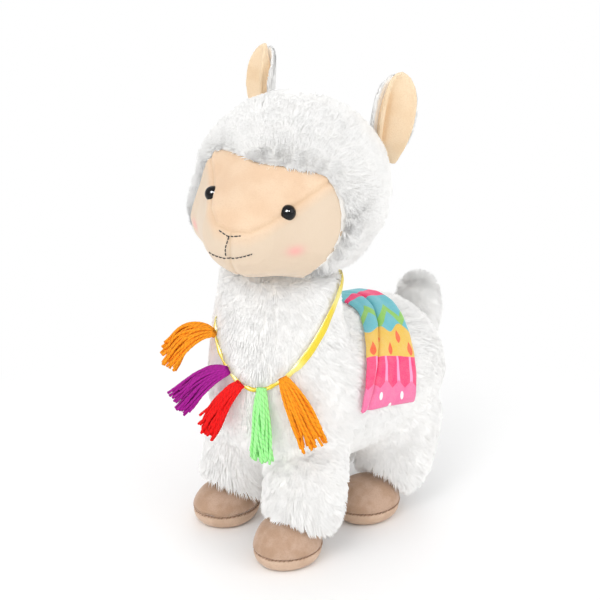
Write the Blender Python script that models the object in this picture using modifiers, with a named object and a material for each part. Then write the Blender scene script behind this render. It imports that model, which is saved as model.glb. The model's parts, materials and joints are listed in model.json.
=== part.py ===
"""A plush toy llama that stands on four hooves.

It faces -Y, its left side is +X, and the floor is z = 0. The white plush parts are stuffed,
so each is one solid of cloth and filling. The face is three beige panels sewn along seams
that meet at the eyes and the nose. Around the neck goes a satin ribbon with five yarn tassels.
Each soft piece stops a small gap short of the piece that it is sewn to or lies on.
"""

import math

import bmesh
import bpy
from mathutils import Matrix, Vector
from mathutils.bvhtree import BVHTree

MM = 0.001

# How near two pieces come to each other
FIT_GAP = 0.35 * MM
SEAM_GAP = 0.6 * MM

# The point under the middle of the toy, from the point between the four hooves
FRAME_X = 0.0 * MM
FRAME_Y = 20.0 * MM

# Trunk
BELLY_Z = 38 * MM
BACK_Z = 128 * MM
TRUNK_HALF_WIDTH = 49 * MM
RUMP_Y = 101 * MM
CHEST_Y = -60 * MM

# Neck
NECK_Y = -18 * MM
NECK_HALF_DEPTH = 37 * MM
NECK_HALF_WIDTH = 37 * MM

# Head, about its own centre: half its width, its depth behind and half its height, its depth in
# front, and how it is turned
HEAD_CENTRE = Vector((0, -6 * MM, 214 * MM))
HEAD_HALF = Vector((57 * MM, 58 * MM, 54 * MM))
HEAD_FRONT = 51 * MM
HEAD_TURN_DEG = 19
HEAD_TILT_DEG = 5
HEAD_SEGMENTS = 30

# Face opening, as angles from an axis that points a little down
FACE_AXIS_DOWN_DEG = 6
FACE_SIDE_DEG = 65
FACE_UP_DEG = 39
FACE_DOWN_DEG = 46
FACE_SQUARENESS = 2.8
FACE_INSET = 2 * MM
PANEL_THICKNESS = 2.4 * MM
FACE_RINGS = 7

# Muzzle, a rounded push forward of the face
MUZZLE_LENGTH = 25 * MM
MUZZLE_DOWN_DEG = 12
MUZZLE_SPREAD_DEG = 27
MUZZLE_BLUNTNESS = 2.7

# Cheeks, filled out on both sides
CHEEK_RISE = 9 * MM
CHEEK_SIDE_DEG = 50
CHEEK_DOWN_DEG = 25
CHEEK_SPREAD_DEG = 26

# Seams and features of the face, seen from the front: across and up from the head's centre
NOSE_Z = -5 * MM
EYE_X = 23.5 * MM
EYE_Z = 6.5 * MM
SEAM_TOP_X = 39 * MM
SEAM_TOP_Z = 22 * MM
MOUTH_Z = -18.5 * MM
MOUTH_HALF_WIDTH = 13.5 * MM
MOUTH_RISE = 3.5 * MM
NOSTRIL_HALF_WIDTH = 6.2 * MM
NOSTRIL_RISE = 2.5 * MM
THREAD_RADIUS = 0.55 * MM

# Safety eyes
EYE_RADIUS = 4.4 * MM
EYE_HEIGHT = 4.0 * MM
SHANK_RADIUS = 1.5 * MM
SHANK_LENGTH = 12 * MM
WASHER_RADIUS = 6.5 * MM
WASHER_THICKNESS = 1.2 * MM
TURNED_STEPS = 16

# Ears, from the head's centre
EAR_X = 36 * MM
EAR_Y = 43 * MM
EAR_Z = 8 * MM
EAR_HEIGHT = 58 * MM
EAR_HALF_WIDTH = 17 * MM
EAR_CUP_RADIUS = 15 * MM
EAR_WIDEST_SHARE = 0.55
EAR_BASE_SHARE = 0.45
EAR_CLOTH = 2.2 * MM
EAR_OPENS_DEG = 36
EAR_LEAN_DEG = 4

# Legs: height, how far back and radius of each ring, from inside the trunk down to the hoof
FRONT_LEG = ((76, -15, 16), (66, -15, 26), (40, -18, 26.5), (24, -20, 25), (12, -22, 20))
REAR_LEG = ((80, 62, 16), (70, 63, 28), (50, 62, 27), (32, 57, 25.5), (19, 50, 23), (11, 44, 19))

# Hooves: how far out and back each one's middle is. The front left one is a step ahead.
FRONT_HOOF_X = 31 * MM
FRONT_HOOF_Y = -32 * MM
FRONT_STEP = 9 * MM
REAR_HOOF_X = 27 * MM
REAR_HOOF_Y = 31 * MM
HOOF_HALF_WIDTH = 19 * MM
HOOF_LENGTH_SHARE = 1.14
HOOF_HEIGHT = 27 * MM
HOOF_SEAM_Z = 9 * MM
SOLE_FLAT_SHARE = 0.68

# Tail: how far behind the rump its middle is, its base above the belly and its height
TAIL_BEHIND = 2 * MM
TAIL_ABOVE = 46 * MM
TAIL_HEIGHT = 52 * MM
TAIL_RADIUS = 18 * MM

# Saddle blanket
BLANKET_FRONT_Y = -1 * MM
BLANKET_REAR_Y = 41 * MM
BLANKET_REACH_DEG = 88
BLANKET_NECK_STEP = 22 * MM
BLANKET_THICKNESS = 1.8 * MM
BLANKET_LOFT = 1.6 * MM
CREASE_SHARE = 0.3
CREASE_SPREAD = 0.12
BLANKET_ROWS = 8
BLANKET_COLUMNS = 20

# Ribbon round the neck. It lies level behind and drops to its lowest place on the chest,
# and turns are counted from the middle of the chest towards the toy's left.
RIBBON_BACK_Z = 161 * MM
RIBBON_LOW_Z = 108 * MM
RIBBON_LOW_DEG = 25
RIBBON_DROP_DEG = 110
RIBBON_DROP_POWER = 1.6
RIBBON_WIDTH = 6 * MM
RIBBON_TIED_WIDTH = 3 * MM
RIBBON_THICKNESS = 0.7 * MM
RIBBON_LIFT = 1.3 * MM
RIBBON_POINTS = 54

# Tassels: the knot's turn round the neck, which way and how far the yarn hangs, and how wide it
# fans out, both as shares of the longest tassel
TASSEL_LENGTH = 42 * MM
TASSELS = (
    ("tassel_orange_right", -25, "orange_yarn", (-0.48, -0.38, -0.52), 0.40),
    ("tassel_purple", 0, "purple_yarn", (-0.60, -0.38, -0.57), 0.38),
    ("tassel_red", 14, "red_yarn", (-0.45, -0.19, -0.79), 0.31),
    ("tassel_green", 29, "green_yarn", (0.05, -0.05, -1.00), 0.29),
    ("tassel_orange_left", 50, "orange_yarn", (0.45, 0.14, -0.88), 0.40),
)
KNOT_RADIUS = 3.6 * MM
STRAND_WIDTH = 2.3 * MM
STRAND_DEPTH = 3.4 * MM
STRANDS = 7
STRAND_STEPS = 4

# Corners of the cage rings of the stuffed pieces, and the cage radius whose smooth surface reaches 1
TRUNK_CORNERS = 12
LIMB_CORNERS = 9
TRUNK_CAGE = 6 / (4 + 2 * math.cos(math.tau / TRUNK_CORNERS))
LIMB_CAGE = 6 / (4 + 2 * math.cos(math.tau / LIMB_CORNERS))

COLOURS = {
    "white_plush": ((0.93, 0.92, 0.90), 0.95),
    "beige_velour": ((0.93, 0.78, 0.60), 0.90),
    "brown_velour": ((0.55, 0.40, 0.30), 0.90),
    "black_plastic": ((0.01, 0.01, 0.01), 0.12),
    "washer_plastic": ((0.85, 0.85, 0.83), 0.45),
    "black_thread": ((0.02, 0.02, 0.02), 0.80),
    "printed_velour": ((0.95, 0.25, 0.50), 0.85),
    "yellow_satin": ((0.93, 0.80, 0.05), 0.35),
    "orange_yarn": ((0.95, 0.42, 0.03), 0.85),
    "green_yarn": ((0.40, 0.92, 0.45), 0.85),
    "red_yarn": ((0.85, 0.02, 0.02), 0.85),
    "purple_yarn": ((0.45, 0.02, 0.45), 0.85),
}


def clear_scene():
    """Removes what the file opened with."""
    for obj in list(bpy.data.objects):
        bpy.data.objects.remove(obj)


def new_collection(name):
    collection = bpy.data.collections.new(name)
    bpy.context.scene.collection.children.link(collection)
    return collection


def finish(name):
    """The material of this name, made once."""
    found = bpy.data.materials.get(name)
    if found:
        return found
    colour, roughness = COLOURS[name]
    material = bpy.data.materials.new(name)
    material.use_nodes = True
    shader = material.node_tree.nodes["Principled BSDF"]
    shader.inputs["Base Color"].default_value = (*colour, 1)
    shader.inputs["Roughness"].default_value = roughness
    shader.inputs["Metallic"].default_value = 0
    return material


def face_outwards(bm):
    """Turns the faces of a closed form outwards."""
    bmesh.ops.recalc_face_normals(bm, faces=bm.faces)
    if bm.calc_volume(signed=True) < 0:
        bmesh.ops.reverse_faces(bm, faces=bm.faces)


class Toy:
    """The collections and the frames that the pieces are parented to."""

    def __init__(self):
        self.parts = new_collection("plush_llama")
        self.cutters = new_collection("cutters")
        self.body_frame = self.frame("body_frame", Matrix.Translation((-FRAME_X, -FRAME_Y, 0)))
        turn = Matrix.Rotation(math.radians(HEAD_TURN_DEG), 4, "Z")
        tilt = Matrix.Rotation(math.radians(HEAD_TILT_DEG), 4, "Y")
        self.head_place = Matrix.Translation(HEAD_CENTRE) @ turn @ tilt
        self.head_frame = self.frame("head_frame", self.head_place)
        self.head_frame.parent = self.body_frame

    def frame(self, name, place):
        empty = bpy.data.objects.new(name, None)
        self.parts.objects.link(empty)
        empty.matrix_world = place
        return empty

    def add(self, name, bm, material, frame):
        """A named piece from a bmesh that is drawn in its frame's own axes."""
        face_outwards(bm)
        mesh = bpy.data.meshes.new(name)
        bm.to_mesh(mesh)
        bm.free()
        mesh.materials.append(finish(material))
        mesh.shade_smooth()
        obj = bpy.data.objects.new(name, mesh)
        self.parts.objects.link(obj)
        obj.parent = frame
        return obj

    def cutter(self, name, bm, frame):
        """A shape that only cuts other pieces."""
        face_outwards(bm)
        mesh = bpy.data.meshes.new(name)
        bm.to_mesh(mesh)
        bm.free()
        obj = bpy.data.objects.new(name, mesh)
        self.cutters.objects.link(obj)
        obj.parent = frame
        obj.hide_render = True
        obj.display_type = "WIRE"
        return obj

    def grown(self, carrier, gap):
        """A cutter of a finished piece's form, grown by a gap along its normals."""
        bm = finished_bmesh(carrier)
        for vert in bm.verts:
            vert.co += vert.normal * gap
        return self.cutter(f"{carrier.name}_grown", bm, carrier.parent)


def finished_bmesh(obj):
    """The piece with its modifiers, in its frame's own axes."""
    bpy.context.view_layer.update()
    graph = bpy.context.evaluated_depsgraph_get()
    evaluated = obj.evaluated_get(graph)
    bm = bmesh.new()
    bm.from_mesh(evaluated.to_mesh())
    evaluated.to_mesh_clear()
    bm.normal_update()
    return bm


def surface_of(pieces):
    """A search tree of finished pieces that share a frame, in its axes."""
    points = []
    faces = []
    for piece in pieces:
        bm = finished_bmesh(piece)
        first = len(points)
        points += [vert.co.copy() for vert in bm.verts]
        faces += [[first + vert.index for vert in face.verts] for face in bm.faces]
        bm.free()
    return BVHTree.FromPolygons(points, faces)


def smooth(obj, levels):
    modifier = obj.modifiers.new("smooth", "SUBSURF")
    modifier.levels = levels
    modifier.render_levels = levels


def boolean(obj, cutter, operation="DIFFERENCE"):
    modifier = obj.modifiers.new(f"{operation.lower()}_{cutter.name}"[:60], "BOOLEAN")
    modifier.operation = operation
    modifier.solver = "EXACT"
    modifier.object = cutter


def lofted_rings(rings):
    """A closed bmesh bridged through rings. Each ring is a matrix that places a unit circle."""
    bm = bmesh.new()
    loops = []
    for place, segments in rings:
        made = bmesh.ops.create_circle(bm, segments=segments, radius=1, matrix=place)
        loops.append(list({edge for vert in made["verts"] for edge in vert.link_edges}))
    for first, second in zip(loops, loops[1:]):
        bmesh.ops.bridge_loops(bm, edges=first + second)
    for loop in (loops[0], loops[-1]):
        bmesh.ops.contextual_create(bm, geom=loop)
    return bm


def ring_at(centre, across, along, half_width, half_depth):
    """A matrix whose X and Y are an ellipse's two half axes."""
    across = across.normalized()
    along = along.normalized()
    place = Matrix.Identity(4)
    place.col[0][:3] = across * half_width
    place.col[1][:3] = along * half_depth
    place.col[2][:3] = across.cross(along)
    place.col[3][:3] = centre
    return place


def trunk_ring(under, over, half_width):
    """A ring of the body between a point of its underline and one of its topline."""
    under = Vector((0, *under))
    over = Vector((0, *over))
    half = (over - under) / 2
    centre = (over + under) / 2
    half_depth = half.length * TRUNK_CAGE
    return ring_at(centre, Vector((1, 0, 0)), half, half_width * TRUNK_CAGE, half_depth), TRUNK_CORNERS


def make_body(toy):
    """Trunk, chest and neck, stuffed as one."""
    belly = BELLY_Z
    back = BACK_Z
    height = back - belly
    rump = RUMP_Y
    chest = CHEST_Y
    wide = TRUNK_HALF_WIDTH
    narrow = NECK_HALF_WIDTH
    front = NECK_Y - NECK_HALF_DEPTH
    nape = NECK_Y + NECK_HALF_DEPTH
    throat = HEAD_CENTRE.z - HEAD_HALF.z
    rise = throat - back
    stations = (
        ((rump, belly + 0.34 * height), (rump, belly + 0.66 * height), 0.40 * wide),
        ((rump - 8 * MM, belly + 0.10 * height), (rump - 7 * MM, back - 0.08 * height), 0.82 * wide),
        ((rump - 34 * MM, belly), (rump - 33 * MM, back), wide),
        ((nape + 3 * MM, belly - 2 * MM), (nape + 18 * MM, back), wide),
        ((chest + 32 * MM, belly + 0.04 * height), (nape + 4 * MM, back + 0.05 * rise), wide),
        ((chest + 6 * MM, belly + 0.28 * height), (nape - 1 * MM, back + 0.25 * rise), 0.96 * wide),
        ((chest, belly + 0.62 * height), (nape - 2 * MM, back + 0.60 * rise), 0.88 * wide),
        ((front - 1 * MM, back), (nape, back + rise), narrow),
        ((front + 3 * MM, throat + 4 * MM), (nape, throat + 16 * MM), narrow),
        ((front + 12 * MM, throat + 22 * MM), (nape - 8 * MM, throat + 30 * MM), 0.7 * narrow),
    )
    bm = lofted_rings([trunk_ring(*station) for station in stations])
    body = toy.add("body", bm, "white_plush", toy.body_frame)
    smooth(body, 1)
    return body


def face_axes():
    """The face opening's axis, its left and its up, in the head's frame."""
    axis = aim_at(0, FACE_AXIS_DOWN_DEG)
    left = Vector((1, 0, 0))
    return axis, left, left.cross(-axis)


def outline_angle(turn):
    """How far the face opening reaches from its axis, at this turn round it from its left."""
    side = abs(math.cos(turn)) / math.radians(FACE_SIDE_DEG)
    reach = FACE_UP_DEG if math.sin(turn) > 0 else FACE_DOWN_DEG
    upright = abs(math.sin(turn)) / math.radians(reach)
    return (side**FACE_SQUARENESS + upright**FACE_SQUARENESS) ** (-1 / FACE_SQUARENESS)


def face_direction(angle, turn):
    axis, left, up = face_axes()
    return math.cos(angle) * axis + math.sin(angle) * (math.cos(turn) * left + math.sin(turn) * up)


def hood_reach(direction):
    """The distance from the head's centre to the plush, along a unit direction."""
    depth = HEAD_FRONT if direction.y < 0 else HEAD_HALF.y
    halves = (HEAD_HALF.x, depth, HEAD_HALF.z)
    return 1 / math.sqrt(sum((part / half) ** 2 for part, half in zip(direction, halves)))


def bulge(direction, aim, spread_deg, bluntness=2.0):
    """How much of a rounded bulge is at a direction: 1 at its middle and near 0 far from it."""
    off = direction.angle(aim) / math.radians(spread_deg)
    return math.exp(-(off**bluntness))


def aim_at(side_deg, down_deg):
    """A unit direction from the head's centre, counted from straight ahead."""
    side = math.radians(side_deg)
    down = math.radians(down_deg)
    level = math.cos(down)
    return Vector((math.sin(side) * level, -math.cos(side) * level, -math.sin(down)))


def face_reach(direction):
    """The distance from the head's centre to the outside of the face panels."""
    muzzle_aim = aim_at(0, MUZZLE_DOWN_DEG)
    muzzle = MUZZLE_LENGTH * bulge(direction, muzzle_aim, MUZZLE_SPREAD_DEG, MUZZLE_BLUNTNESS)
    cheeks = sum(
        CHEEK_RISE * bulge(direction, aim_at(side, CHEEK_DOWN_DEG), CHEEK_SPREAD_DEG)
        for side in (-CHEEK_SIDE_DEG, CHEEK_SIDE_DEG)
    )
    return hood_reach(direction) - FACE_INSET + muzzle + cheeks


def on_face(across, up):
    """The point of the face's outside that is seen at this place from the front."""
    near, far = -0.2 * HEAD_HALF.y, -3 * HEAD_HALF.y
    for _ in range(40):
        middle = (near + far) / 2
        point = Vector((across, middle, up))
        if point.length > face_reach(point.normalized()):
            far = middle
        else:
            near = middle
    return Vector((across, near, up))


def face_normal(across, up):
    step = 0.5 * MM
    right_way = on_face(across + step, up) - on_face(across - step, up)
    upwards = on_face(across, up + step) - on_face(across, up - step)
    return right_way.cross(upwards).normalized()


def polar_form(rings, first_pole, last_pole):
    """A closed bmesh from a sphere whose rings are moved to places that a function gives."""
    bm = bmesh.new()
    bmesh.ops.create_uvsphere(bm, u_segments=HEAD_SEGMENTS, v_segments=len(rings) + 1, radius=1)
    for vert in bm.verts:
        level = round(math.acos(max(-1, min(1, vert.co.z))) / math.pi * (len(rings) + 1))
        turn = math.atan2(vert.co.y, vert.co.x)
        if level == 0:
            vert.co = first_pole
        elif level == len(rings) + 1:
            vert.co = last_pole
        else:
            vert.co = rings[level - 1](turn)
    return bm


def ring_of(reach, share, less=0.0, margin=0.0):
    """A ring of a surface at a share of the face opening's angle."""

    def place(turn):
        direction = face_direction(outline_angle(turn) * share - margin, turn)
        return direction * (reach(direction) - less)

    return place


def ring_behind(share, less=0.0):
    """A ring of the plush behind the face opening: share 0 is its edge and 1 the back of the head."""

    def place(turn):
        edge = outline_angle(turn)
        direction = face_direction(edge + (math.pi - edge) * share, turn)
        return direction * (hood_reach(direction) - less)

    return place


def head_form(face_less, hood_less):
    """The form of the whole head, drawn in from the face and from the hood by these depths."""
    axis = face_axes()[0]
    rings = [ring_of(face_reach, step / FACE_RINGS, face_less) for step in range(1, FACE_RINGS + 1)]
    shares = (0.004, 0.06, 0.18, 0.34, 0.52, 0.70, 0.86)
    rings += [ring_behind(share, hood_less) for share in shares]
    front = axis * (face_reach(axis) - face_less)
    back = -axis * (hood_reach(-axis) - hood_less)
    return polar_form(rings, front, back)


def make_head(toy, body):
    """The plush hood and its filling, with a bed for the face panels. The neck ends under it."""
    bed_depth = PANEL_THICKNESS + 3 * FIT_GAP
    head = toy.add("head", head_form(bed_depth, 0), "white_plush", toy.head_frame)
    seat_form = head_form(-FACE_INSET - 1.5 * FIT_GAP, -1.5 * FIT_GAP)
    boolean(body, toy.cutter("head_seat", seat_form, toy.head_frame))
    return head


def face_shell():
    """The three face panels as one shell, before the seams part them."""
    margin = 2 * FIT_GAP / HEAD_HALF.y
    axis = face_axes()[0]
    steps = [step / FACE_RINGS for step in range(1, FACE_RINGS + 1)]
    rings = [ring_of(face_reach, share, 0, margin) for share in steps]
    rings += [ring_of(face_reach, share, PANEL_THICKNESS, margin) for share in reversed(steps)]
    outer = axis * face_reach(axis)
    return polar_form(rings, outer, outer - axis * PANEL_THICKNESS)


def forehead_outline(grow):
    """The forehead panel's corners seen from the front, pushed outwards by a margin."""
    beyond = 1.5
    half = (
        (0, NOSE_Z - grow),
        (0.45 * EYE_X, NOSE_Z + 0.12 * (EYE_Z - NOSE_Z) - grow),
        (0.75 * EYE_X, NOSE_Z + 0.50 * (EYE_Z - NOSE_Z) - grow),
        (EYE_X + 0.6 * grow, EYE_Z - 0.8 * grow),
        (SEAM_TOP_X + 0.9 * grow, SEAM_TOP_Z - 0.4 * grow),
        (SEAM_TOP_X * beyond + grow, SEAM_TOP_Z * 2 * beyond),
    )
    return list(half) + [(-across, up) for across, up in reversed(half[1:])]


def prism(outline, near, far):
    """A flat outline seen from the front, drawn out in depth."""
    bm = bmesh.new()
    verts = [bm.verts.new((across, near, up)) for across, up in outline]
    face = bmesh.ops.contextual_create(bm, geom=verts)["faces"]
    drawn = bmesh.ops.extrude_face_region(bm, geom=face)
    moved = [item for item in drawn["geom"] if isinstance(item, bmesh.types.BMVert)]
    bmesh.ops.translate(bm, verts=moved, vec=(0, far - near, 0))
    return bm


def box(low, high):
    bm = bmesh.new()
    bmesh.ops.create_cube(bm, size=1)
    bmesh.ops.scale(bm, vec=high - low, verts=bm.verts)
    bmesh.ops.translate(bm, vec=(high + low) / 2, verts=bm.verts)
    return bm


def cylinder(radius, start, end):
    """A round bar from one point to another."""
    bm = bmesh.new()
    way = end - start
    place = Matrix.Translation((start + end) / 2) @ way.to_track_quat("Z", "Y").to_matrix().to_4x4()
    bmesh.ops.create_cone(
        bm,
        cap_ends=True,
        segments=TURNED_STEPS,
        radius1=radius,
        radius2=radius,
        depth=way.length,
        matrix=place,
    )
    return bm


def make_face(toy):
    """Forehead panel and two cheek panels, parted by the seams."""
    reach = 3 * HEAD_HALF.y
    keep = toy.cutter("forehead_keep", prism(forehead_outline(0), -reach, 0), toy.head_frame)
    away = toy.cutter("forehead_away", prism(forehead_outline(SEAM_GAP), -reach, 0), toy.head_frame)
    forehead = toy.add("forehead_panel", face_shell(), "beige_velour", toy.head_frame)
    boolean(forehead, keep, "INTERSECT")
    panels = [forehead]
    for side, name in ((1, "left"), (-1, "right")):
        cheek = toy.add(f"cheek_panel_{name}", face_shell(), "beige_velour", toy.head_frame)
        boolean(cheek, away)
        ends = sorted((side * SEAM_GAP / 2, -side * reach))
        other_half = box(Vector((ends[0], -reach, -reach)), Vector((ends[1], reach, reach)))
        boolean(cheek, toy.cutter(f"half_not_{name}", other_half, toy.head_frame))
        panels.append(cheek)
    return panels


def turned(profile, place, steps=TURNED_STEPS):
    """A closed bmesh from a profile of radius and height, spun round the Z axis and then placed."""
    bm = bmesh.new()
    verts = [bm.verts.new((radius, 0, height)) for radius, height in profile]
    edges = [bm.edges.new(pair) for pair in zip(verts, verts[1:])]
    bmesh.ops.spin(
        bm,
        geom=verts + edges,
        cent=(0, 0, 0),
        axis=(0, 0, 1),
        angle=math.tau,
        steps=steps,
        use_merge=True,
    )
    bmesh.ops.remove_doubles(bm, verts=bm.verts, dist=0.01 * MM)
    bmesh.ops.transform(bm, matrix=place, verts=bm.verts)
    return bm


def eye_profile():
    """Radius and height, from the top of the dome to the end of the shank."""
    dome = [
        (EYE_RADIUS * math.sin(step * math.pi / 12), EYE_HEIGHT * math.cos(step * math.pi / 12))
        for step in range(7)
    ]
    return [*dome, (SHANK_RADIUS, 0), (SHANK_RADIUS, -SHANK_LENGTH), (0, -SHANK_LENGTH)]


def washer_profile():
    inner = SHANK_RADIUS + FIT_GAP
    half = WASHER_THICKNESS / 2
    corners = [(inner, half), (WASHER_RADIUS, half), (WASHER_RADIUS, -half), (inner, -half)]
    return [*corners, corners[0]]


def make_eyes(toy, head, panels):
    """Domed eyes on shanks that go through the panels, each with its washer behind them."""
    pieces = []
    for side, name in ((1, "left"), (-1, "right")):
        across = side * EYE_X
        normal = face_normal(across, EYE_Z)
        skin = on_face(across, EYE_Z)
        aim = normal.to_track_quat("Z", "Y").to_matrix().to_4x4()
        seat = skin + normal * 1.5 * FIT_GAP
        eye = turned(eye_profile(), Matrix.Translation(seat) @ aim)
        pieces.append(toy.add(f"eye_{name}", eye, "black_plastic", toy.head_frame))
        behind = skin - normal * (PANEL_THICKNESS + 3 * FIT_GAP + WASHER_THICKNESS / 2)
        washer = turned(washer_profile(), Matrix.Translation(behind) @ aim)
        pieces.append(toy.add(f"eye_washer_{name}", washer, "washer_plastic", toy.head_frame))
        bottom = seat - normal * (SHANK_LENGTH + FIT_GAP)
        shank = cylinder(SHANK_RADIUS + FIT_GAP, bottom, skin + normal * 2 * EYE_HEIGHT)
        hole = toy.cutter(f"shank_hole_{name}", shank, toy.head_frame)
        pocket_end = behind - normal * (WASHER_THICKNESS / 2 + FIT_GAP)
        room = cylinder(WASHER_RADIUS + FIT_GAP, pocket_end, skin + normal * EYE_HEIGHT)
        pocket = toy.cutter(f"washer_pocket_{name}", room, toy.head_frame)
        for piece in (head, *panels):
            boolean(piece, hole)
        boolean(head, pocket)
    return pieces


def thread(points, radius, sides=6):
    """A thread through points: a ring at each, bridged and capped."""
    rings = []
    for index, point in enumerate(points):
        before = points[max(index - 1, 0)]
        after = points[min(index + 1, len(points) - 1)]
        aim = (after - before).to_track_quat("Z", "Y").to_matrix()
        rings.append((ring_at(point, aim.col[0], aim.col[1], radius, radius), sides))
    return lofted_rings(rings)


def stitch_line(corners, steps):
    """Points just off the face under a line of places seen from the front."""
    points = []
    for (x0, z0), (x1, z1) in zip(corners, corners[1:]):
        for step in range(steps):
            share = step / steps
            points.append((x0 + (x1 - x0) * share, z0 + (z1 - z0) * share))
    points.append(corners[-1])
    lift = THREAD_RADIUS + FIT_GAP
    return [on_face(x, z) + face_normal(x, z) * lift for x, z in points]


def make_stitching(toy):
    """The embroidered nose, a bar with two short arms, and the mouth."""
    arm = (NOSTRIL_HALF_WIDTH, NOSE_Z + NOSTRIL_RISE)
    arms = stitch_line([(-arm[0], arm[1]), (0, NOSE_Z), arm], 3)
    nose = toy.add("nose_stitching", thread(arms, THREAD_RADIUS), "black_thread", toy.head_frame)
    clear_of_mouth = MOUTH_Z + 2 * THREAD_RADIUS + 2 * FIT_GAP
    drop = stitch_line([(0, NOSE_Z), (0, clear_of_mouth)], 4)
    bar = toy.cutter("nose_bar", thread(drop, THREAD_RADIUS), toy.head_frame)
    boolean(nose, bar, "UNION")
    shares = [step / 4 for step in range(-4, 5)]
    smile = [(share * MOUTH_HALF_WIDTH, MOUTH_Z + MOUTH_RISE * share * share) for share in shares]
    lip = thread(stitch_line(smile, 1), THREAD_RADIUS)
    mouth = toy.add("mouth_stitching", lip, "black_thread", toy.head_frame)
    return [nose, mouth]


def ear_sheet(lift, thickness):
    """A leaf of cloth curled round its length, open at the front. Lift moves it into the cup."""
    rows, columns = 8, 6
    bm = bmesh.new()
    bmesh.ops.create_grid(bm, x_segments=columns, y_segments=rows, size=1)
    for vert in bm.verts:
        up = (vert.co.y + 1) / 2
        half = EAR_HALF_WIDTH * leaf_share(up)
        radius = EAR_CUP_RADIUS - lift
        angle = vert.co.x * half / EAR_CUP_RADIUS
        across = radius * math.sin(angle)
        deep = EAR_CUP_RADIUS - radius * math.cos(angle)
        vert.co = Vector((across, deep, up * EAR_HEIGHT))
    bmesh.ops.recalc_face_normals(bm, faces=bm.faces)
    bmesh.ops.solidify(bm, geom=bm.faces[:], thickness=thickness)
    return bm


def leaf_share(up):
    """The half width of the leaf at a share of its height, as a share of the widest."""
    if up < EAR_WIDEST_SHARE:
        return EAR_BASE_SHARE + (1 - EAR_BASE_SHARE) * math.sin(up / EAR_WIDEST_SHARE * math.pi / 2)
    fall = (up - EAR_WIDEST_SHARE) / (1 - EAR_WIDEST_SHARE)
    return max(0.15, math.sqrt(1 - fall**2.4))


def make_ears(toy, head):
    """Each ear is a plush back with a velour lining inside its cup."""
    pieces = []
    grown_head = toy.grown(head, FIT_GAP)
    for side, name in ((1, "left"), (-1, "right")):
        base = Matrix.Translation((side * EAR_X, EAR_Y, EAR_Z))
        lean = Matrix.Rotation(math.radians(side * EAR_LEAN_DEG), 4, "Y")
        # The cup opens along +Y of the leaf, and this turn points that to the front and out
        opens = Matrix.Rotation(math.radians(180 + side * EAR_OPENS_DEG), 4, "Z")
        place = base @ lean @ opens
        for piece, lift, material in (
            (f"ear_back_{name}", 0.0, "white_plush"),
            (f"ear_lining_{name}", EAR_CLOTH + FIT_GAP, "beige_velour"),
        ):
            bm = ear_sheet(lift, EAR_CLOTH)
            bmesh.ops.transform(bm, matrix=place, verts=bm.verts)
            ear = toy.add(piece, bm, material, toy.head_frame)
            boolean(ear, grown_head)
            pieces.append(ear)
    return pieces


def leg_rings(stations, side, foot_x, ahead):
    """Rings of a leg, from inside the trunk to its end over the hoof."""
    across = Vector((1, 0, 0))
    along = Vector((0, 1, 0))
    top = stations[0][0]
    widest = max(radius for _, _, radius in stations) * MM
    rings = []
    for height, back, radius in stations:
        down = min(2 * (1 - height / top), 1)
        out = (TRUNK_HALF_WIDTH - widest) * (1 - down) + foot_x * down
        centre = Vector((side * out, back * MM - ahead * down, height * MM))
        size = radius * MM * LIMB_CAGE
        rings.append((ring_at(centre, across, along, size, size), LIMB_CORNERS))
    return rings


def hoof_profile_upper():
    """Radius and height of the velour upper, from its top to the seam."""
    top = HOOF_HEIGHT
    seam = HOOF_SEAM_Z + SEAM_GAP / 2
    wide = HOOF_HALF_WIDTH
    return [
        (0, top),
        (0.45 * wide, top - 0.02 * top),
        (0.78 * wide, top - 0.16 * top),
        (0.95 * wide, top - 0.36 * top),
        (wide, seam + 0.22 * (top - seam)),
        (0.975 * wide, seam),
        (0, seam),
    ]


def hoof_profile_sole():
    """Radius and height of the sole, from the seam to its flat."""
    seam = HOOF_SEAM_Z - SEAM_GAP / 2
    wide = HOOF_HALF_WIDTH
    flat = SOLE_FLAT_SHARE * wide
    return [
        (0, seam),
        (0.975 * wide, seam),
        (0.965 * wide, 0.62 * seam),
        (0.88 * wide, 0.22 * seam),
        (flat, 0),
        (0, 0),
    ]


def make_legs(toy, body):
    """Four stuffed legs, each over a hoof of an upper and a sole."""
    pieces = []
    grown_body = toy.grown(body, FIT_GAP)
    rows = (
        ("front", FRONT_LEG, FRONT_HOOF_X, FRONT_HOOF_Y, FRONT_STEP),
        ("rear", REAR_LEG, REAR_HOOF_X, REAR_HOOF_Y, 0),
    )
    longer = Matrix.Diagonal((1, HOOF_LENGTH_SHARE, 1, 1))
    for row, stations, hoof_x, hoof_y, step in rows:
        for side, name in ((1, "left"), (-1, "right")):
            ahead = step if side > 0 else 0
            place = Matrix.Translation((side * hoof_x, hoof_y - ahead, 0)) @ longer
            top = turned(hoof_profile_upper(), place)
            upper = toy.add(f"hoof_upper_{row}_{name}", top, "brown_velour", toy.body_frame)
            bottom = turned(hoof_profile_sole(), place)
            sole = toy.add(f"hoof_sole_{row}_{name}", bottom, "brown_velour", toy.body_frame)
            bm = lofted_rings(leg_rings(stations, side, hoof_x, ahead))
            leg = toy.add(f"leg_{row}_{name}", bm, "white_plush", toy.body_frame)
            smooth(leg, 1)
            boolean(leg, grown_body)
            boolean(leg, toy.grown(upper, FIT_GAP))
            pieces += [leg, upper, sole]
    return pieces


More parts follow.
